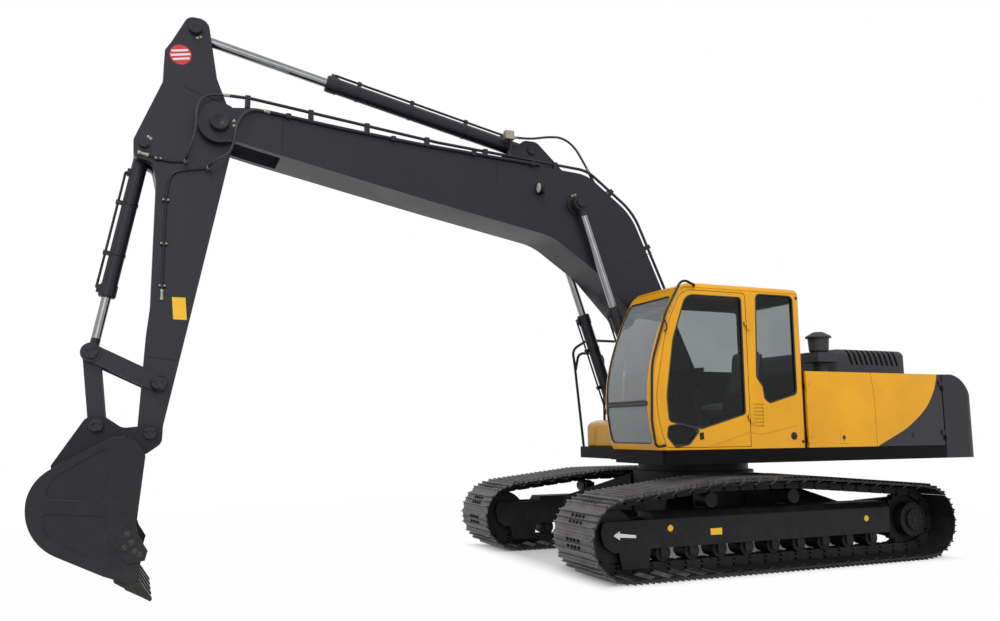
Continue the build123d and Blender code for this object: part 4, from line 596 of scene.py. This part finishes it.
# Section of a link, in rows of the same kind
LINK = (
    (-0.13, -0.012), (-0.08, -0.034), (0.10, -0.046), (0.16, -LINK_DOWN), (0.84, -LINK_DOWN),
    (0.92, -0.042), (1.06, -0.026), (1.12, -0.004), (1.06, 0.022), (0.90, 0.036), (0.82, 0.053),
    (0.18, 0.053), (0.06, 0.034), (-0.06, 0.026),
)
SHOE_BOLTS = [(share, y) for share in (0.335, 0.665) for y in (-0.0375, 0.0375)]
BUSHING = LINK_GAP + 2 * LINK_W + 0.008
PINS = pin_places()
for side_name, mid_y in (("left", GAUGE / 2), ("right", -GAUGE / 2)):
    bm = bmesh.new()
    dark = bmesh.new()
    for k, here in enumerate(PINS):
        along = PINS[(k + 1) % SHOES] - here
        out = Vector((along.y, -along.x)).normalized()

        def at(share, height, y):
            spot = here + along * share + out * height
            return (spot.x, y, spot.y)

        slab(bm, SHOE, mid_y - SHOE_W / 2, mid_y + SHOE_W / 2, 0.0025, at)
        for sign in (1, -1):
            y = mid_y + sign * (LINK_GAP / 2 + LINK_W / 2)
            slab(dark, LINK, y - LINK_W / 2 + 0.003, y + LINK_W / 2 - 0.003, 0.003, at)
            for share, offset in SHOE_BOLTS:
                bolt(dark, at(share, PLATE_TOP, y + offset), (out.x, 0, out.y), 0.0135, 0.013)
        rows = ((0, 0.012), (0.004, 0.017), (BUSHING - 0.004, 0.017), (BUSHING, 0.012))
        lathe(dark, at(0, 0, mid_y - BUSHING / 2), (0, 1, 0), rows, 12)
    shoes = settle(bm, f"track_shoes_{side_name}", "undercarriage", "steel", 25)
    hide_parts("track_" + side_name)
    settle(dark, f"track_chain_{side_name}", "undercarriage", "black", 40)

# Window seals on the flat sides of the cab: rows of (x, z, radius)
SEAL_Y = 1.402
FRONT_CURVE = ((1.262, 1.760, 0.5), (1.170, 2.330, 0.5))
SEALS = {
    "door_seal": ("cab_door", SEAL_Y, (
        (0.305, 1.575, 0.04), (0.860, 1.425, 0.06), (1.245, 1.500, 0.06), *FRONT_CURVE,
        (1.000, 2.795, 0.15), (0.305, 2.795, 0.04))),
    "leaf_seal": ("cab_door", SEAL_Y, (
        (0.880, 1.412, 0.025), (1.010, 1.272, 0.06), (1.175, 1.240, 0.06), (1.272, 1.345, 0.06),
        (1.255, 1.452, 0.03), (1.120, 1.470, 0.2))),
    "side_seal": ("upper", SEAL_Y, (
        (-0.385, 2.845, 0.06), (0.105, 2.845, 0.06), (0.140, 1.960, 0.06), (0.062, 1.860, 0.03),
        (0.045, 1.735, 0.04), (-0.020, 1.690, 0.04), (-0.385, 1.790, 0.06))),
    "right_seal": ("upper", 0.455, (
        (-0.385, 1.800, 0.06), (1.180, 1.480, 0.06), *FRONT_CURVE, (1.000, 2.790, 0.15),
        (-0.385, 2.790, 0.06))),
}


def seal(name, body, line):
    """Rubber along a line that closes on itself."""
    bm = bmesh.new()
    tube(bm, line + line[:2], 0.009, 8)
    settle(bm, name, body, "rubber", 60)


for name, (body, y, rows) in SEALS.items():
    seal(name, body, [(u, y, v) for u, v in rounded_outline(rows)])

# Seals of the curved front panes: height and corner radius of the lower and the upper edge
PANES = {
    "windshield": ((1.694, 0.01), (2.790, 0.06)),
    "low_screen": ((1.275, 0.06), (1.666, 0.01)),
}
PANE_Y, INSET = (0.514, 1.320), 0.985
for name, ((low, low_round), (high, high_round)) in PANES.items():
    rows = [(y, low, low_round) for y in PANE_Y] + [(y, high, high_round) for y in PANE_Y[::-1]]
    mid_y, mid_z = sum(PANE_Y) / 2, (low + high) / 2
    line = []
    for y, z in rounded_outline(rows):
        y, z = mid_y + (y - mid_y) * INSET, mid_z + (z - mid_z) * INSET
        hit, spot = NODES[name].ray_cast(Vector((2.2, y, z)), Vector((-1, 0, 0)))[:2]
        if hit:
            line.append((spot.x + 0.002, y, z))
    seal(name + "_seal", "upper", line)

# Decals and blank plates
bm = bmesh.new()
disc_at, DISC_R = Vector((5.905, 0.1905, 5.06)), 0.10
lathe(bm, disc_at, (0, 1, 0), ((0, DISC_R), (0.0015, DISC_R)), 40)
settle(bm, "arm_round_sign", "arm", "sign_red")
bm = bmesh.new()
STRIPE_HALF, STRIPE_REACH, TILT = 0.0105, 0.092, radians(-12)
for k in (-2, 0, 2):
    half = (STRIPE_REACH ** 2 - (abs(k) * 0.02 + 0.01) ** 2) ** 0.5
    low, high = (2 * k - 1) * STRIPE_HALF, (2 * k + 1) * STRIPE_HALF
    rows = [(disc_at.x + u * cos(TILT) - v * sin(TILT), disc_at.z + u * sin(TILT) + v * cos(TILT))
            for u, v in ((-half, low), (half, low), (half, high), (-half, high))]
    slab(bm, rows, 0.1915, 0.1928, 0.0003)
settle(bm, "arm_round_sign_stripes", "arm", "sign_white")
bm = bmesh.new()
slab(bm, ((5.745, 2.47), (5.865, 2.47), (5.885, 2.68), (5.765, 2.68)), 0.189, 0.192, 0.0005)
settle(bm, "arm_blank_label", "arm", "sign_yellow")
FRAME_Y = 1.4445
bm = bmesh.new()
for x, z in ((1.30, 0.465), (-1.22, 0.445)):
    lathe(bm, (x, FRAME_Y, z), (0, 1, 0), ((0, 0.032), (0.0016, 0.032)), 24)
brick(bm, 0.69, 0.83, FRAME_Y, FRAME_Y + 0.002, 0.375, 0.440, 0.0005)
settle(bm, "frame_yellow_marks", "undercarriage", "sign_yellow")
bm = bmesh.new()
slab(bm, ((1.94, 0.425), (1.87, 0.465), (1.87, 0.443), (1.69, 0.418), (1.69, 0.392), (1.87, 0.405),
          (1.87, 0.380)), FRAME_Y, FRAME_Y + 0.0017, 0.0004)
settle(bm, "frame_white_arrow", "undercarriage", "sign_white")

# Work lamp on the boom, and fittings on the cab's skin: handle and round cap
SKIN_Y = 1.4045
bm = bmesh.new()
lathe(bm, (2.09, 0.345, 4.085), (1, 0, 0), ((0, 0.035), (0.02, 0.062), (0.055, 0.066), (0.060, 0.060)), 24)
brick(bm, 2.07, 2.10, 0.275, 0.36, 4.03, 4.06)
settle(bm, "boom_lamp_body", "boom", "pipe")
bm = bmesh.new()
lathe(bm, (2.149, 0.345, 4.085), (1, 0, 0), ((0, 0.056), (0.004, 0.050), (0.006, 0.02)), 24)
settle(bm, "boom_lamp_lens", "boom", "lamp")
bm = bmesh.new()
slab(bm, ((0.835, 1.318), (0.885, 1.312), (0.890, 1.382), (0.840, 1.388)), SKIN_Y, SKIN_Y + 0.005, 0.0015)
lathe(bm, (0.864, 1.4090, 1.366), (0, 1, 0), ((0, 0.015), (0.006, 0.015), (0.008, 0.011)), 20)
lathe(bm, (0.862, 1.4090, 1.332), (0, 1, 0), ((0, 0.011), (0.004, 0.011), (0.005, 0.004)), 20)
settle(bm, "door_handle", "cab_door", "pipe")
bm = bmesh.new()
lathe(bm, (-0.32, 1.404, 1.34), (0, 1, 0), ((0, 0.040), (0.006, 0.040), (0.010, 0.034)), 28)
settle(bm, "side_round_cap", "upper", "pipe")

# End plates on the pins: body, pin, face y, radius, bolts
PIN_CAPS = (
    ("lift_rods", LIFT_PIN, 0.421, 0.054, 0), ("boom", ARM_PIN, 0.340, 0.090, 0),
    ("arm", ARM_TOP, 0.220, 0.060, 0), ("arm", BUCKET_BASE, 0.220, 0.046, 0),
    ("arm", IDLE_PIN, 0.310, 0.058, 3), ("arm", BUCKET_PIN, 0.310, 0.058, 3),
    ("idler_links", LINK_PIN, 0.256, 0.062, 4), ("bucket", HOOK_PIN, 0.316, 0.058, 3),
    ("boom", FOOT, 0.405, 0.062, 4), ("boom", ARM_BASE, 0.130, 0.052, 3),
)
caps = {row[0]: bmesh.new() for row in PIN_CAPS}
for body, pin, y, radius, count in PIN_CAPS:
    rows = ((-0.002, radius), (0.008, radius), (0.012, radius - 0.004), (0.012, radius * 0.45),
            (0.009, radius * 0.40))
    for side in (1, -1):
        lathe(caps[body], (pin[0], side * y, pin[1]), (0, side, 0), rows, 28)
        bolt_circle(caps[body], pin, y + 0.0125, side, count, radius * 0.72, (0.0085, 0.008), 0.5)
for body, bm in caps.items():
    settle(bm, "pin_caps_" + body, body, "charcoal")

# Keeper bolts beside the pins, in pairs: body, pin, face y, distance from the pin, direction
KEEPERS = (
    ("boom", ARM_PIN, 0.280, 0.140, 3.10), ("arm", ARM_TOP, 0.190, 0.095, 4.30),
    ("arm", BUCKET_BASE, 0.190, 0.078, 2.20), ("boom", LIFT_PIN, 0.302, 0.112, 1.20),
)
keepers = {row[0]: bmesh.new() for row in KEEPERS}
for body, (x, z), y, away, turn in KEEPERS:
    for side in (1, -1):
        for angle in (turn - 0.17, turn + 0.17):
            spot = (x + cos(angle) * away, side * y, z + sin(angle) * away)
            bolt(keepers[body], spot, (0, side, 0), 0.010, 0.012)
for body, bm in keepers.items():
    settle(bm, body + "_keeper_bolts", body, "brass")
bm = bmesh.new()
COLLAR = ((0, 0.070), (0.004, 0.074), (0.040, 0.074), (0.044, 0.068), (0.069, 0.058))
for side in (1, -1):
    lathe(bm, (IDLE_PIN[0], side * 0.2395, IDLE_PIN[1]), (0, side, 0), COLLAR, 28)
settle(bm, "idler_pin_collars", "arm", "charcoal")


# Pipes, clamps and ports that ride on the cylinders
def beside(base, way, reach, rise, y):
    """Point beside a cylinder: along its axis, and above it in the XZ plane."""
    return (base[0] + way[0] * reach - way[1] * rise, y, base[1] + way[1] * reach + way[0] * rise)


def clamp(bm, base, way, reach, y, radius, width=0.034):
    """Band around a barrel."""
    inner, rim, outer = radius - 0.004, radius + 0.0005, radius + 0.006
    rows = ((0, inner), (0, rim), (0.004, outer), (width - 0.004, outer), (width, rim), (width, inner))
    lathe(bm, beside(base, way, reach, 0, y), (way[0], 0, way[1]), rows, 32, hollow=True)


def port(bm, base, way, reach, low, high, y, half):
    """Chamfered block on a barrel, from one height over its axis to another."""
    rows = ((reach - half, low), (reach + half, low), (reach + half, high), (reach - half, high))
    spots = [beside(base, way, u, v, 0) for u, v in rows[::1 if high > low else -1]]
    slab(bm, [(spot[0], spot[2]) for spot in spots], y - half, y + half, 0.005)


CYLINDERS = (
    # body, base pin, rod pin, y of each, barrel radius, side, ends and radius of the pipe, clamps
    ("arm_cylinder_barrel", ARM_BASE, ARM_TOP, (0,), 0.082, 1, (0.33, 2.31, 0.013), (0.78, 1.42, 2.02)),
    ("bucket_cylinder_barrel", BUCKET_BASE, LINK_PIN, (0,), 0.070, 1, (0.26, 1.41, 0.012), (0.55, 1.05)),
    ("lift_barrels", LIFT_BASE, LIFT_PIN, (0.362, -0.362), 0.068, -1, (0.30, 1.46, 0.011), (0.62, 1.08)),
)
for body, base, pin, ys, radius, flip, (start, end, thick), clamps in CYLINDERS:
    way = (Vector(pin) - Vector(base)).normalized()
    steel = bmesh.new()
    foot, high = flip * (radius + 0.012), flip * (radius + 0.034)
    bend = high + flip * 0.004
    rows = ((start, foot), (start, bend), (start + 0.05, high), (start + 0.30, high),
            (end - 0.30, high), (end - 0.05, high), (end, bend), (end, foot))
    for y in ys:
        tube(steel, route([beside(base, way, reach, rise, y) for reach, rise in rows]), thick, 12)
        for reach in clamps:
            clamp(steel, base, way, reach, y, radius)
            port(steel, base, way, reach + 0.017, flip * (radius - 0.006), high + flip * 0.020, y, 0.021)
        port(steel, base, way, start, flip * (radius - 0.010), flip * (radius + 0.022), y, 0.034)
        port(steel, base, way, end, flip * (radius - 0.004), flip * (radius + 0.030), y, 0.036)
    settle(steel, body + "_piping", body, "pipe", 50)

# Block where the third hose meets the arm cylinder's ears
bm = bmesh.new()
brick(bm, 2.375, 2.480, 0.128, 0.210, 4.655, 4.755, 0.006)
settle(bm, "boom_hose_block", "boom", "brass")


def ferrule(bm, start, to):
    """Crimped end of a hose with its nut."""
    way = (Vector(to) - Vector(start)).normalized()
    crimp = ((0, 0.0150), (0.004, 0.0168), (0.012, 0.0168), (0.014, 0.0158), (0.020, 0.0168),
             (0.034, 0.0168), (0.040, 0.0140))
    lathe(bm, start, way, ((0.0, 0.0195), (0.018, 0.0195), (0.020, 0.0165)), 6)
    lathe(bm, Vector(start) + way * 0.020, way, crimp, 16)


for name, points in HOSES.items():
    far_body = "boom" if name == "hose_c" else "arm"
    for which, body, start, to in (("start", "boom", *points[:2]), ("end", far_body, *points[:-3:-1])):
        bm = bmesh.new()
        ferrule(bm, start, to)
        settle(bm, f"{name}_fitting_{which}", body, "brass")

# Pipes on the near cheek of the arm, with clamps and brass fittings
ARM_PIPE_Y, ARM_CLAMP_Y = 0.203, 0.2175
ARM_PIPES = (
    ((5.640, 3.945), (5.760, 3.925), (5.935, 3.880), (5.972, 3.720), (5.978, 3.300), (5.974, 2.740)),
    ((5.846, 3.992), (5.940, 3.975), (6.060, 3.998), (6.150, 4.018)),
)
ARM_CLAMPS = ((5.978, 3.600), (5.977, 3.180), (5.974, 2.780), (6.060, 3.996))
bm = bmesh.new()
for points in ARM_PIPES:
    tube(bm, route([(x, ARM_PIPE_Y, z) for x, z in points]), 0.0115, 12)
for x, z in ARM_CLAMPS:
    brick(bm, x - 0.030, x + 0.030, 0.1895, ARM_CLAMP_Y, z - 0.018, z + 0.018, 0.004)
settle(bm, "arm_pipes", "arm", "pipe", 50)
bm = bmesh.new()
FITTING = ((0, 0.018), (0.026, 0.018), (0.028, 0.014), (0.070, 0.014), (0.074, 0.019), (0.098, 0.019),
           (0.102, 0.012))
for x, z, way in ((5.974, 2.745, (-0.01, 0, -1)), (6.146, 4.017, (1, 0, 0.2))):
    lathe(bm, (x, ARM_PIPE_Y, z), way, FITTING, 6)
for x, z in ARM_CLAMPS:
    for along in (-0.022, 0.022):
        bolt(bm, (x + along, ARM_CLAMP_Y, z), (0, 1, 0), 0.0065, 0.006)
settle(bm, "arm_pipe_fittings", "arm", "brass")

# Weld beads along the plate joints of boom and arm: face y, and lines from (x, z) to (x, z)
WELDS = {
    "boom": (0.2805, (((4.93, 4.18), (4.93, 4.53)), ((2.62, 3.96), (2.62, 4.36)),
                      ((1.05, 3.30), (0.66, 3.48)))),
    "arm": (0.1905, (((6.080, 2.120), (5.830, 2.090)), ((5.46, 4.62), (5.86, 4.74)))),
}
for body, (y, lines) in WELDS.items():
    bm = bmesh.new()
    for (x0, z0), (x1, z1) in lines:
        for side in (1, -1):
            bead = [(x0 + (x1 - x0) * k / 24, side * y, z0 + (z1 - z0) * k / 24) for k in range(25)]
            tube(bm, bead, 0.0045, 8)
    settle(bm, body + "_weld_beads", body, "charcoal")

# Bucket: bolts of the side cutters, and tooth caps with their pins
TOOTH_Y = [0.270 * (k - 2) for k in range(5)]
TOOTH_PIN = ((0, 0.013), (0.003, 0.016), (0.105, 0.016), (0.108, 0.013))
TOOTH_CAP = ((6.150, 0.190), (6.060, 0.168), (6.028, 0.150), (5.9495, 0.030), (5.9605, 0.0085),
             (6.058, 0.060), (6.165, 0.118))
bm = bmesh.new()
for x, z in ((6.165, 0.575), (6.128, 0.505), (6.180, 0.465), (6.098, 0.430), (6.060, 0.400)):
    for side in (1, -1):
        bolt(bm, (x, side * 0.616, z), (0, side, 0), 0.019, 0.016)
for y in TOOTH_Y:
    lathe(bm, (6.118, y - 0.054, 0.146), (0, 1, 0), TOOTH_PIN, 16)
settle(bm, "bucket_bolts", "bucket", "bolt")
bm = bmesh.new()
for y in TOOTH_Y:
    slab(bm, TOOTH_CAP, y - 0.0495, y + 0.0495, 0.004)
settle(bm, "bucket_tooth_caps", "bucket", "tooth", 30)

# Final drives: bolt circles and middle caps on the covers
DRIVE, COVER_Y = (SPROCKET_X, TRACK_R), 1.482
bm = bmesh.new()
for side in (1, -1):
    bolt_circle(bm, DRIVE, 1.452, side, 16, 0.163, (0.0105, 0.010))
    bolt_circle(bm, DRIVE, COVER_Y, side, 8, 0.088, (0.0095, 0.010))
    lathe(bm, (DRIVE[0], side * COVER_Y, DRIVE[1]), (0, side, 0),
          ((-0.001, 0.050), (0.006, 0.050), (0.010, 0.040)), 32)
settle(bm, "drive_bolts", "undercarriage", "black", 30)

# Cab: creases stamped into the side, round markers, mirror bracket and roof eye
CREASES = {
    "cab_crease": ("upper", ((-0.36, 1.452), (-0.20, 1.418), (-0.02, 1.382), (0.11, 1.358),
                             (0.235, 1.378))),
    "door_crease": ("cab_door", ((0.262, 1.385), (0.42, 1.340), (0.60, 1.290), (0.76, 1.250))),
}
for name, (body, points) in CREASES.items():
    bm = bmesh.new()
    tube(bm, route([(x, SKIN_Y, z) for x, z in points]), 0.0042, 8)
    settle(bm, name, body, "cab")
bm = bmesh.new()
for x, z in ((-0.44, 1.28), (-0.44, 2.83)):
    lathe(bm, (x, SKIN_Y, z), (0, 1, 0), ((0, 0.017), (0.004, 0.017), (0.008, 0.011)), 20)
settle(bm, "cab_markers", "upper", "pipe")
bm = bmesh.new()
tube(bm, route(((1.285, 1.424, 2.560), (1.292, 1.440, 2.555), (1.300, 1.446, 2.530), (1.275, 1.446, 2.480),
                (1.262, 1.446, 2.440), (1.268, 1.440, 2.410), (1.272, 1.412, 2.405))), 0.008, 10)
settle(bm, "mirror_bracket", "upper", "pipe", 50)
EYE_X, EYE_Y, EYE_R, EYE_TOP = 0.94, 0.53, 0.015, 2.9315
spot = NODES["cab_roof"].ray_cast(Vector((EYE_X, EYE_Y, 3.4)), Vector((0, 0, -1)))[1]
bm = bmesh.new()
lathe(bm, (EYE_X, EYE_Y, spot.z - 0.006), (0, 0, 1), ((0, 0.016), (0.012, 0.016), (0.018, 0.008)), 14)
turns = [2 * pi * k / 20 for k in range(21)]
tube(bm, [(EYE_X, EYE_Y + sin(turn) * EYE_R, min(spot.z + 0.021 - cos(turn) * EYE_R, EYE_TOP))
          for turn in turns], 0.0035, 8)
settle(bm, "roof_eye", "upper", "pipe", 50)

# House: blank latch plate, latches of the doors, and dark screens behind the hood's slots
bm = bmesh.new()
brick(bm, -1.060, -0.960, SKIN_Y, SKIN_Y + 0.003, 1.250, 1.390, 0.002)
settle(bm, "front_door_plate", "left_front_door", "yellow")
LATCHES = (
    # name, body, x, z, side
    ("front", "left_front_door", -1.010, 1.320, 1), ("rear", "left_rear_door", -2.045, 1.345, 1),
    ("pump", "pump_door", -1.560, 1.345, -1),
)
LATCH_CUP = ((-0.003, 0.022), (0.003, 0.022), (0.006, 0.018), (0.006, 0.008), (0.002, 0.006))
for name, body, x, z, side in LATCHES:
    bm = bmesh.new()
    lathe(bm, (x, side * 1.4070, z), (0, side, 0), LATCH_CUP, 24)
    low, high = sorted((side * SKIN_Y, side * (SKIN_Y + 0.005)))
    brick(bm, x - 0.005, x + 0.005, low, high, z - 0.040, z - 0.020, 0.001)
    settle(bm, name + "_door_latch", body, "pipe")
SLATS, SLAT_STEP, SLAT_W, SCREEN_HALF = 30, 0.0325, 0.024, 0.002
bm = bmesh.new()
for side in (1, -1):
    slat_y, back_y = side * 0.678, side * 0.672
    for k in range(SLATS):
        x = -1.700 - k * SLAT_STEP
        brick(bm, x, x - SLAT_W, slat_y - SCREEN_HALF, slat_y + SCREEN_HALF, 2.150, 2.3585, 0.0008)
    brick(bm, -1.690, -2.680, back_y - SCREEN_HALF, back_y + SCREEN_HALF, 2.146, 2.3583, 0.0008)
settle(bm, "hood_screens", "engine_hood", "dark")

# Inside the cab: side trim under the right window, monitor, grips and travel levers
bm = bmesh.new()
slab(bm, ((-0.430, 1.270), (1.150, 1.270), (1.230, 1.620), (1.200, 2.010), (1.120, 2.066),
          (-0.430, 2.066)), 0.5045, 0.5280, 0.005)
brick(bm, -0.430, 1.120, 0.5045, 0.5480, 2.046, 2.071, 0.004)
settle(bm, "cab_side_trim", "upper", "dark")
bm = bmesh.new()
STALK = ((0.300, 0.648, 1.802), (0.310, 0.648, 1.860), (0.340, 0.648, 1.930), (0.352, 0.648, 1.990))
tube(bm, route(STALK), 0.012, 10)
slab(bm, ((0.345, 1.940), (0.366, 1.944), (0.336, 2.104), (0.315, 2.100)), 0.560, 0.735, 0.004)
settle(bm, "cab_monitor", "upper", "console")
bm = bmesh.new()
GRIP = ((0, 0.0305), (0.010, 0.0285), (0.020, 0.0245), (0.034, 0.0295), (0.044, 0.0240), (0.056, 0.0180),
        (0.085, 0.0205), (0.105, 0.0235), (0.118, 0.0225), (0.1195, 0.0180))
for y in (0.6485, 1.2085):
    lathe(bm, (0.370, y, 1.806), (0, 0, 1), GRIP, 20)
settle(bm, "lever_grips", "upper", "console", 50)
bm = bmesh.new()
LEVER = ((1.060, 1.262), (1.050, 1.320), (0.960, 1.520), (0.900, 1.700), (0.890, 1.780))
KNOB = ((0, 0.012), (0.008, 0.019), (0.070, 0.019), (0.080, 0.012))
PEDAL = ((1.020, 1.2655), (1.180, 1.2655), (1.150, 1.300), (1.030, 1.330))
for y in (0.870, 0.985):
    tube(bm, route([(x, y, z) for x, z in LEVER]), 0.010, 10)
    lathe(bm, (0.893, y, 1.760), (-0.1, 0, 1), KNOB, 14)
    slab(bm, PEDAL, y - 0.045, y + 0.045, 0.004)
settle(bm, "travel_levers", "upper", "console", 50)


# Seat: crowned cushions with sewn channels on a bellows base
def cushion(name, centre, along, out, half, channels=(), steps=36):
    """Closed pad: crowned on both faces, sides pulled in between its corners, seams sunk into the front."""
    across = Vector((0, 1, 0))
    centre, along, out = (Vector(v) for v in (centre, along, out))
    bm = bmesh.new()

    def spot(i, j, side):
        u, v = 2 * i / steps - 1, 2 * j / steps - 1
        edge = max(0.0, (1 - abs(u) ** 7) * (1 - abs(v) ** 7)) ** 0.42
        crown = 0.72 + 0.28 * cos(u * pi / 2) * cos(v * pi / 2)
        sink = sum(depth * max(0.0, 1 - ((v - at) / 0.075) ** 2) ** 2 for at, depth in channels)
        sink += 0.16 * (max(0.0, 1 - ((abs(u) - 0.66) / 0.06) ** 2) ** 2 if abs(v) < 0.93 else 0.0)
        rise = half[2] * edge * (crown - (sink if side > 0 else 0.0)) * (side if side > 0 else -0.8)
        pull_u = 1 - 0.035 * cos(v * pi / 2) - 0.05 * abs(v) ** 8
        pull_v = 1 - 0.030 * cos(u * pi / 2) - 0.05 * abs(u) ** 8
        return centre + across * half[0] * u * pull_u + along * half[1] * v * pull_v + out * rise

    front = [[bm.verts.new(spot(i, j, 1)) for j in range(steps + 1)] for i in range(steps + 1)]
    back = [[front[i][j] if i in (0, steps) or j in (0, steps) else bm.verts.new(spot(i, j, -1))
             for j in range(steps + 1)] for i in range(steps + 1)]
    for i in range(steps):
        for j in range(steps):
            bm.faces.new((front[i][j], front[i + 1][j], front[i + 1][j + 1], front[i][j + 1]))
            bm.faces.new((back[i][j], back[i][j + 1], back[i + 1][j + 1], back[i + 1][j]))
    piece = settle(bm, name, "upper", "fabric", 80)
    soften = piece.modifiers.new("soften", "SUBSURF")
    soften.levels = 1
    soften.render_levels = 1
    return piece


SEAT_Y = 0.9285
seat = cushion("seat_cushion", (0.125, SEAT_Y, 1.632), (0.998, 0, 0.052), (-0.052, 0, 0.998),
               (0.235, 0.248, 0.066), ((-0.45, 0.10), (0.0, 0.14), (0.45, 0.14)))
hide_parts("operator_seat")
rest = cushion("seat_back", (-0.082, SEAT_Y, 1.975), (-0.125, 0, 0.992), (0.992, 0, 0.125),
               (0.230, 0.300, 0.060), ((-0.55, 0.12), (-0.1, 0.14), (0.35, 0.14)))
head = cushion("seat_headrest", (-0.128, SEAT_Y, 2.372), (-0.110, 0, 0.994), (0.994, 0, 0.110),
               (0.125, 0.098, 0.040), steps=24)
FOLD = 0.034
bm = bmesh.new()
for k in range(7):
    pull = 0.0 if k % 2 else 0.020
    low = 1.300 + k * FOLD
    brick(bm, -0.105 + pull, 0.285 - pull, SEAT_Y - 0.185 + pull, SEAT_Y + 0.185 - pull, low, low + FOLD,
          0.008)
brick(bm, -0.12, 0.30, SEAT_Y - 0.19, SEAT_Y + 0.19, 1.2665, 1.302, 0.004)
brick(bm, -0.13, 0.35, SEAT_Y - 0.215, SEAT_Y + 0.215, 1.536, 1.590, 0.008)
slab(bm, ((-0.135, 1.560), (-0.085, 1.560), (-0.115, 1.900), (-0.150, 2.230), (-0.172, 2.235),
          (-0.165, 1.900)), SEAT_Y - 0.200, SEAT_Y + 0.200, 0.006)
for y in (SEAT_Y - 0.060, SEAT_Y + 0.060):
    tube(bm, ((-0.130, y, 2.200), (-0.131, y, 2.260), (-0.132, y, 2.330)), 0.007, 10)
settle(bm, "seat_base", "upper", "console")


# Floor and light
def floor_paint():
    """Matt under and beside the tracks; away from them it shows as even white to every ray that is seen."""
    s = Shader("floor_pale")
    s.surface({"Base Color": s.mix(s.noise(0.4), (0.70, 0.70, 0.70), (0.72, 0.72, 0.72)), "Roughness": 0.9})
    track_x, track_y = 1.95, 1.50
    over_x = s.math("SUBTRACT", s.math("ABSOLUTE", s.axis(s.place, 0)), track_x)
    over_y = s.math("SUBTRACT", s.math("ABSOLUTE", s.axis(s.place, 1)), track_y)
    away = s.vector("DISTANCE", s.vector("MULTIPLY", s.place, (1, 1, 0)), (1.5, 0, 0))
    share = s.math("MAXIMUM", s.remap(s.math("MAXIMUM", over_x, over_y), 0.0, 0.35, 0.10, 0.97),
                   s.remap(away, 4.0, 9.0))
    bright = s.node("Emission", {"Color": (1, 1, 1), "Strength": 1.0}).outputs[0]
    s.put(s.blend(s.product(s.seen_ray(), share), s.main.outputs[0], bright), s.output)
    return s.material


FLOOR_HALF = 60
floor_mesh = bpy.data.meshes.new("floor")
corners = [(x * FLOOR_HALF, y * FLOOR_HALF, 0) for x, y in ((-1, -1), (1, -1), (1, 1), (-1, 1))]
floor_mesh.from_pydata(corners, [], [(0, 1, 2, 3)])
floor_mesh.materials.append(floor_paint())
floor = bpy.data.objects.new("floor", floor_mesh)
scene.collection.objects.link(floor)

world = bpy.data.worlds.new("studio")
scene.world = world
world.use_nodes = True
world.node_tree.nodes.clear()
studio = Nodes(world.node_tree)
light = studio.node("Background", {"Color": (0.93, 0.96, 1.0), "Strength": 0.62}).outputs[0]
white = studio.node("Background", {"Color": (1, 1, 1), "Strength": 1.0}).outputs[0]
studio.node("OutputWorld", {"Surface": studio.blend(studio.seen_ray(), light, white)})


def sun(name, way, strength, spread):
    data = bpy.data.lights.new(name, "SUN")
    data.energy = strength
    data.angle = radians(spread)
    lamp = bpy.data.objects.new(name, data)
    lamp.rotation_euler = Vector(way).to_track_quat("-Z", "Y").to_euler()
    scene.collection.objects.link(lamp)


sun("key_light", (-0.45, -0.75, -1.0), 1.5, 25)
sun("fill_light", (-0.2, -1.0, -0.15), 0.5, 40)

scene.view_settings.view_transform = "Standard"
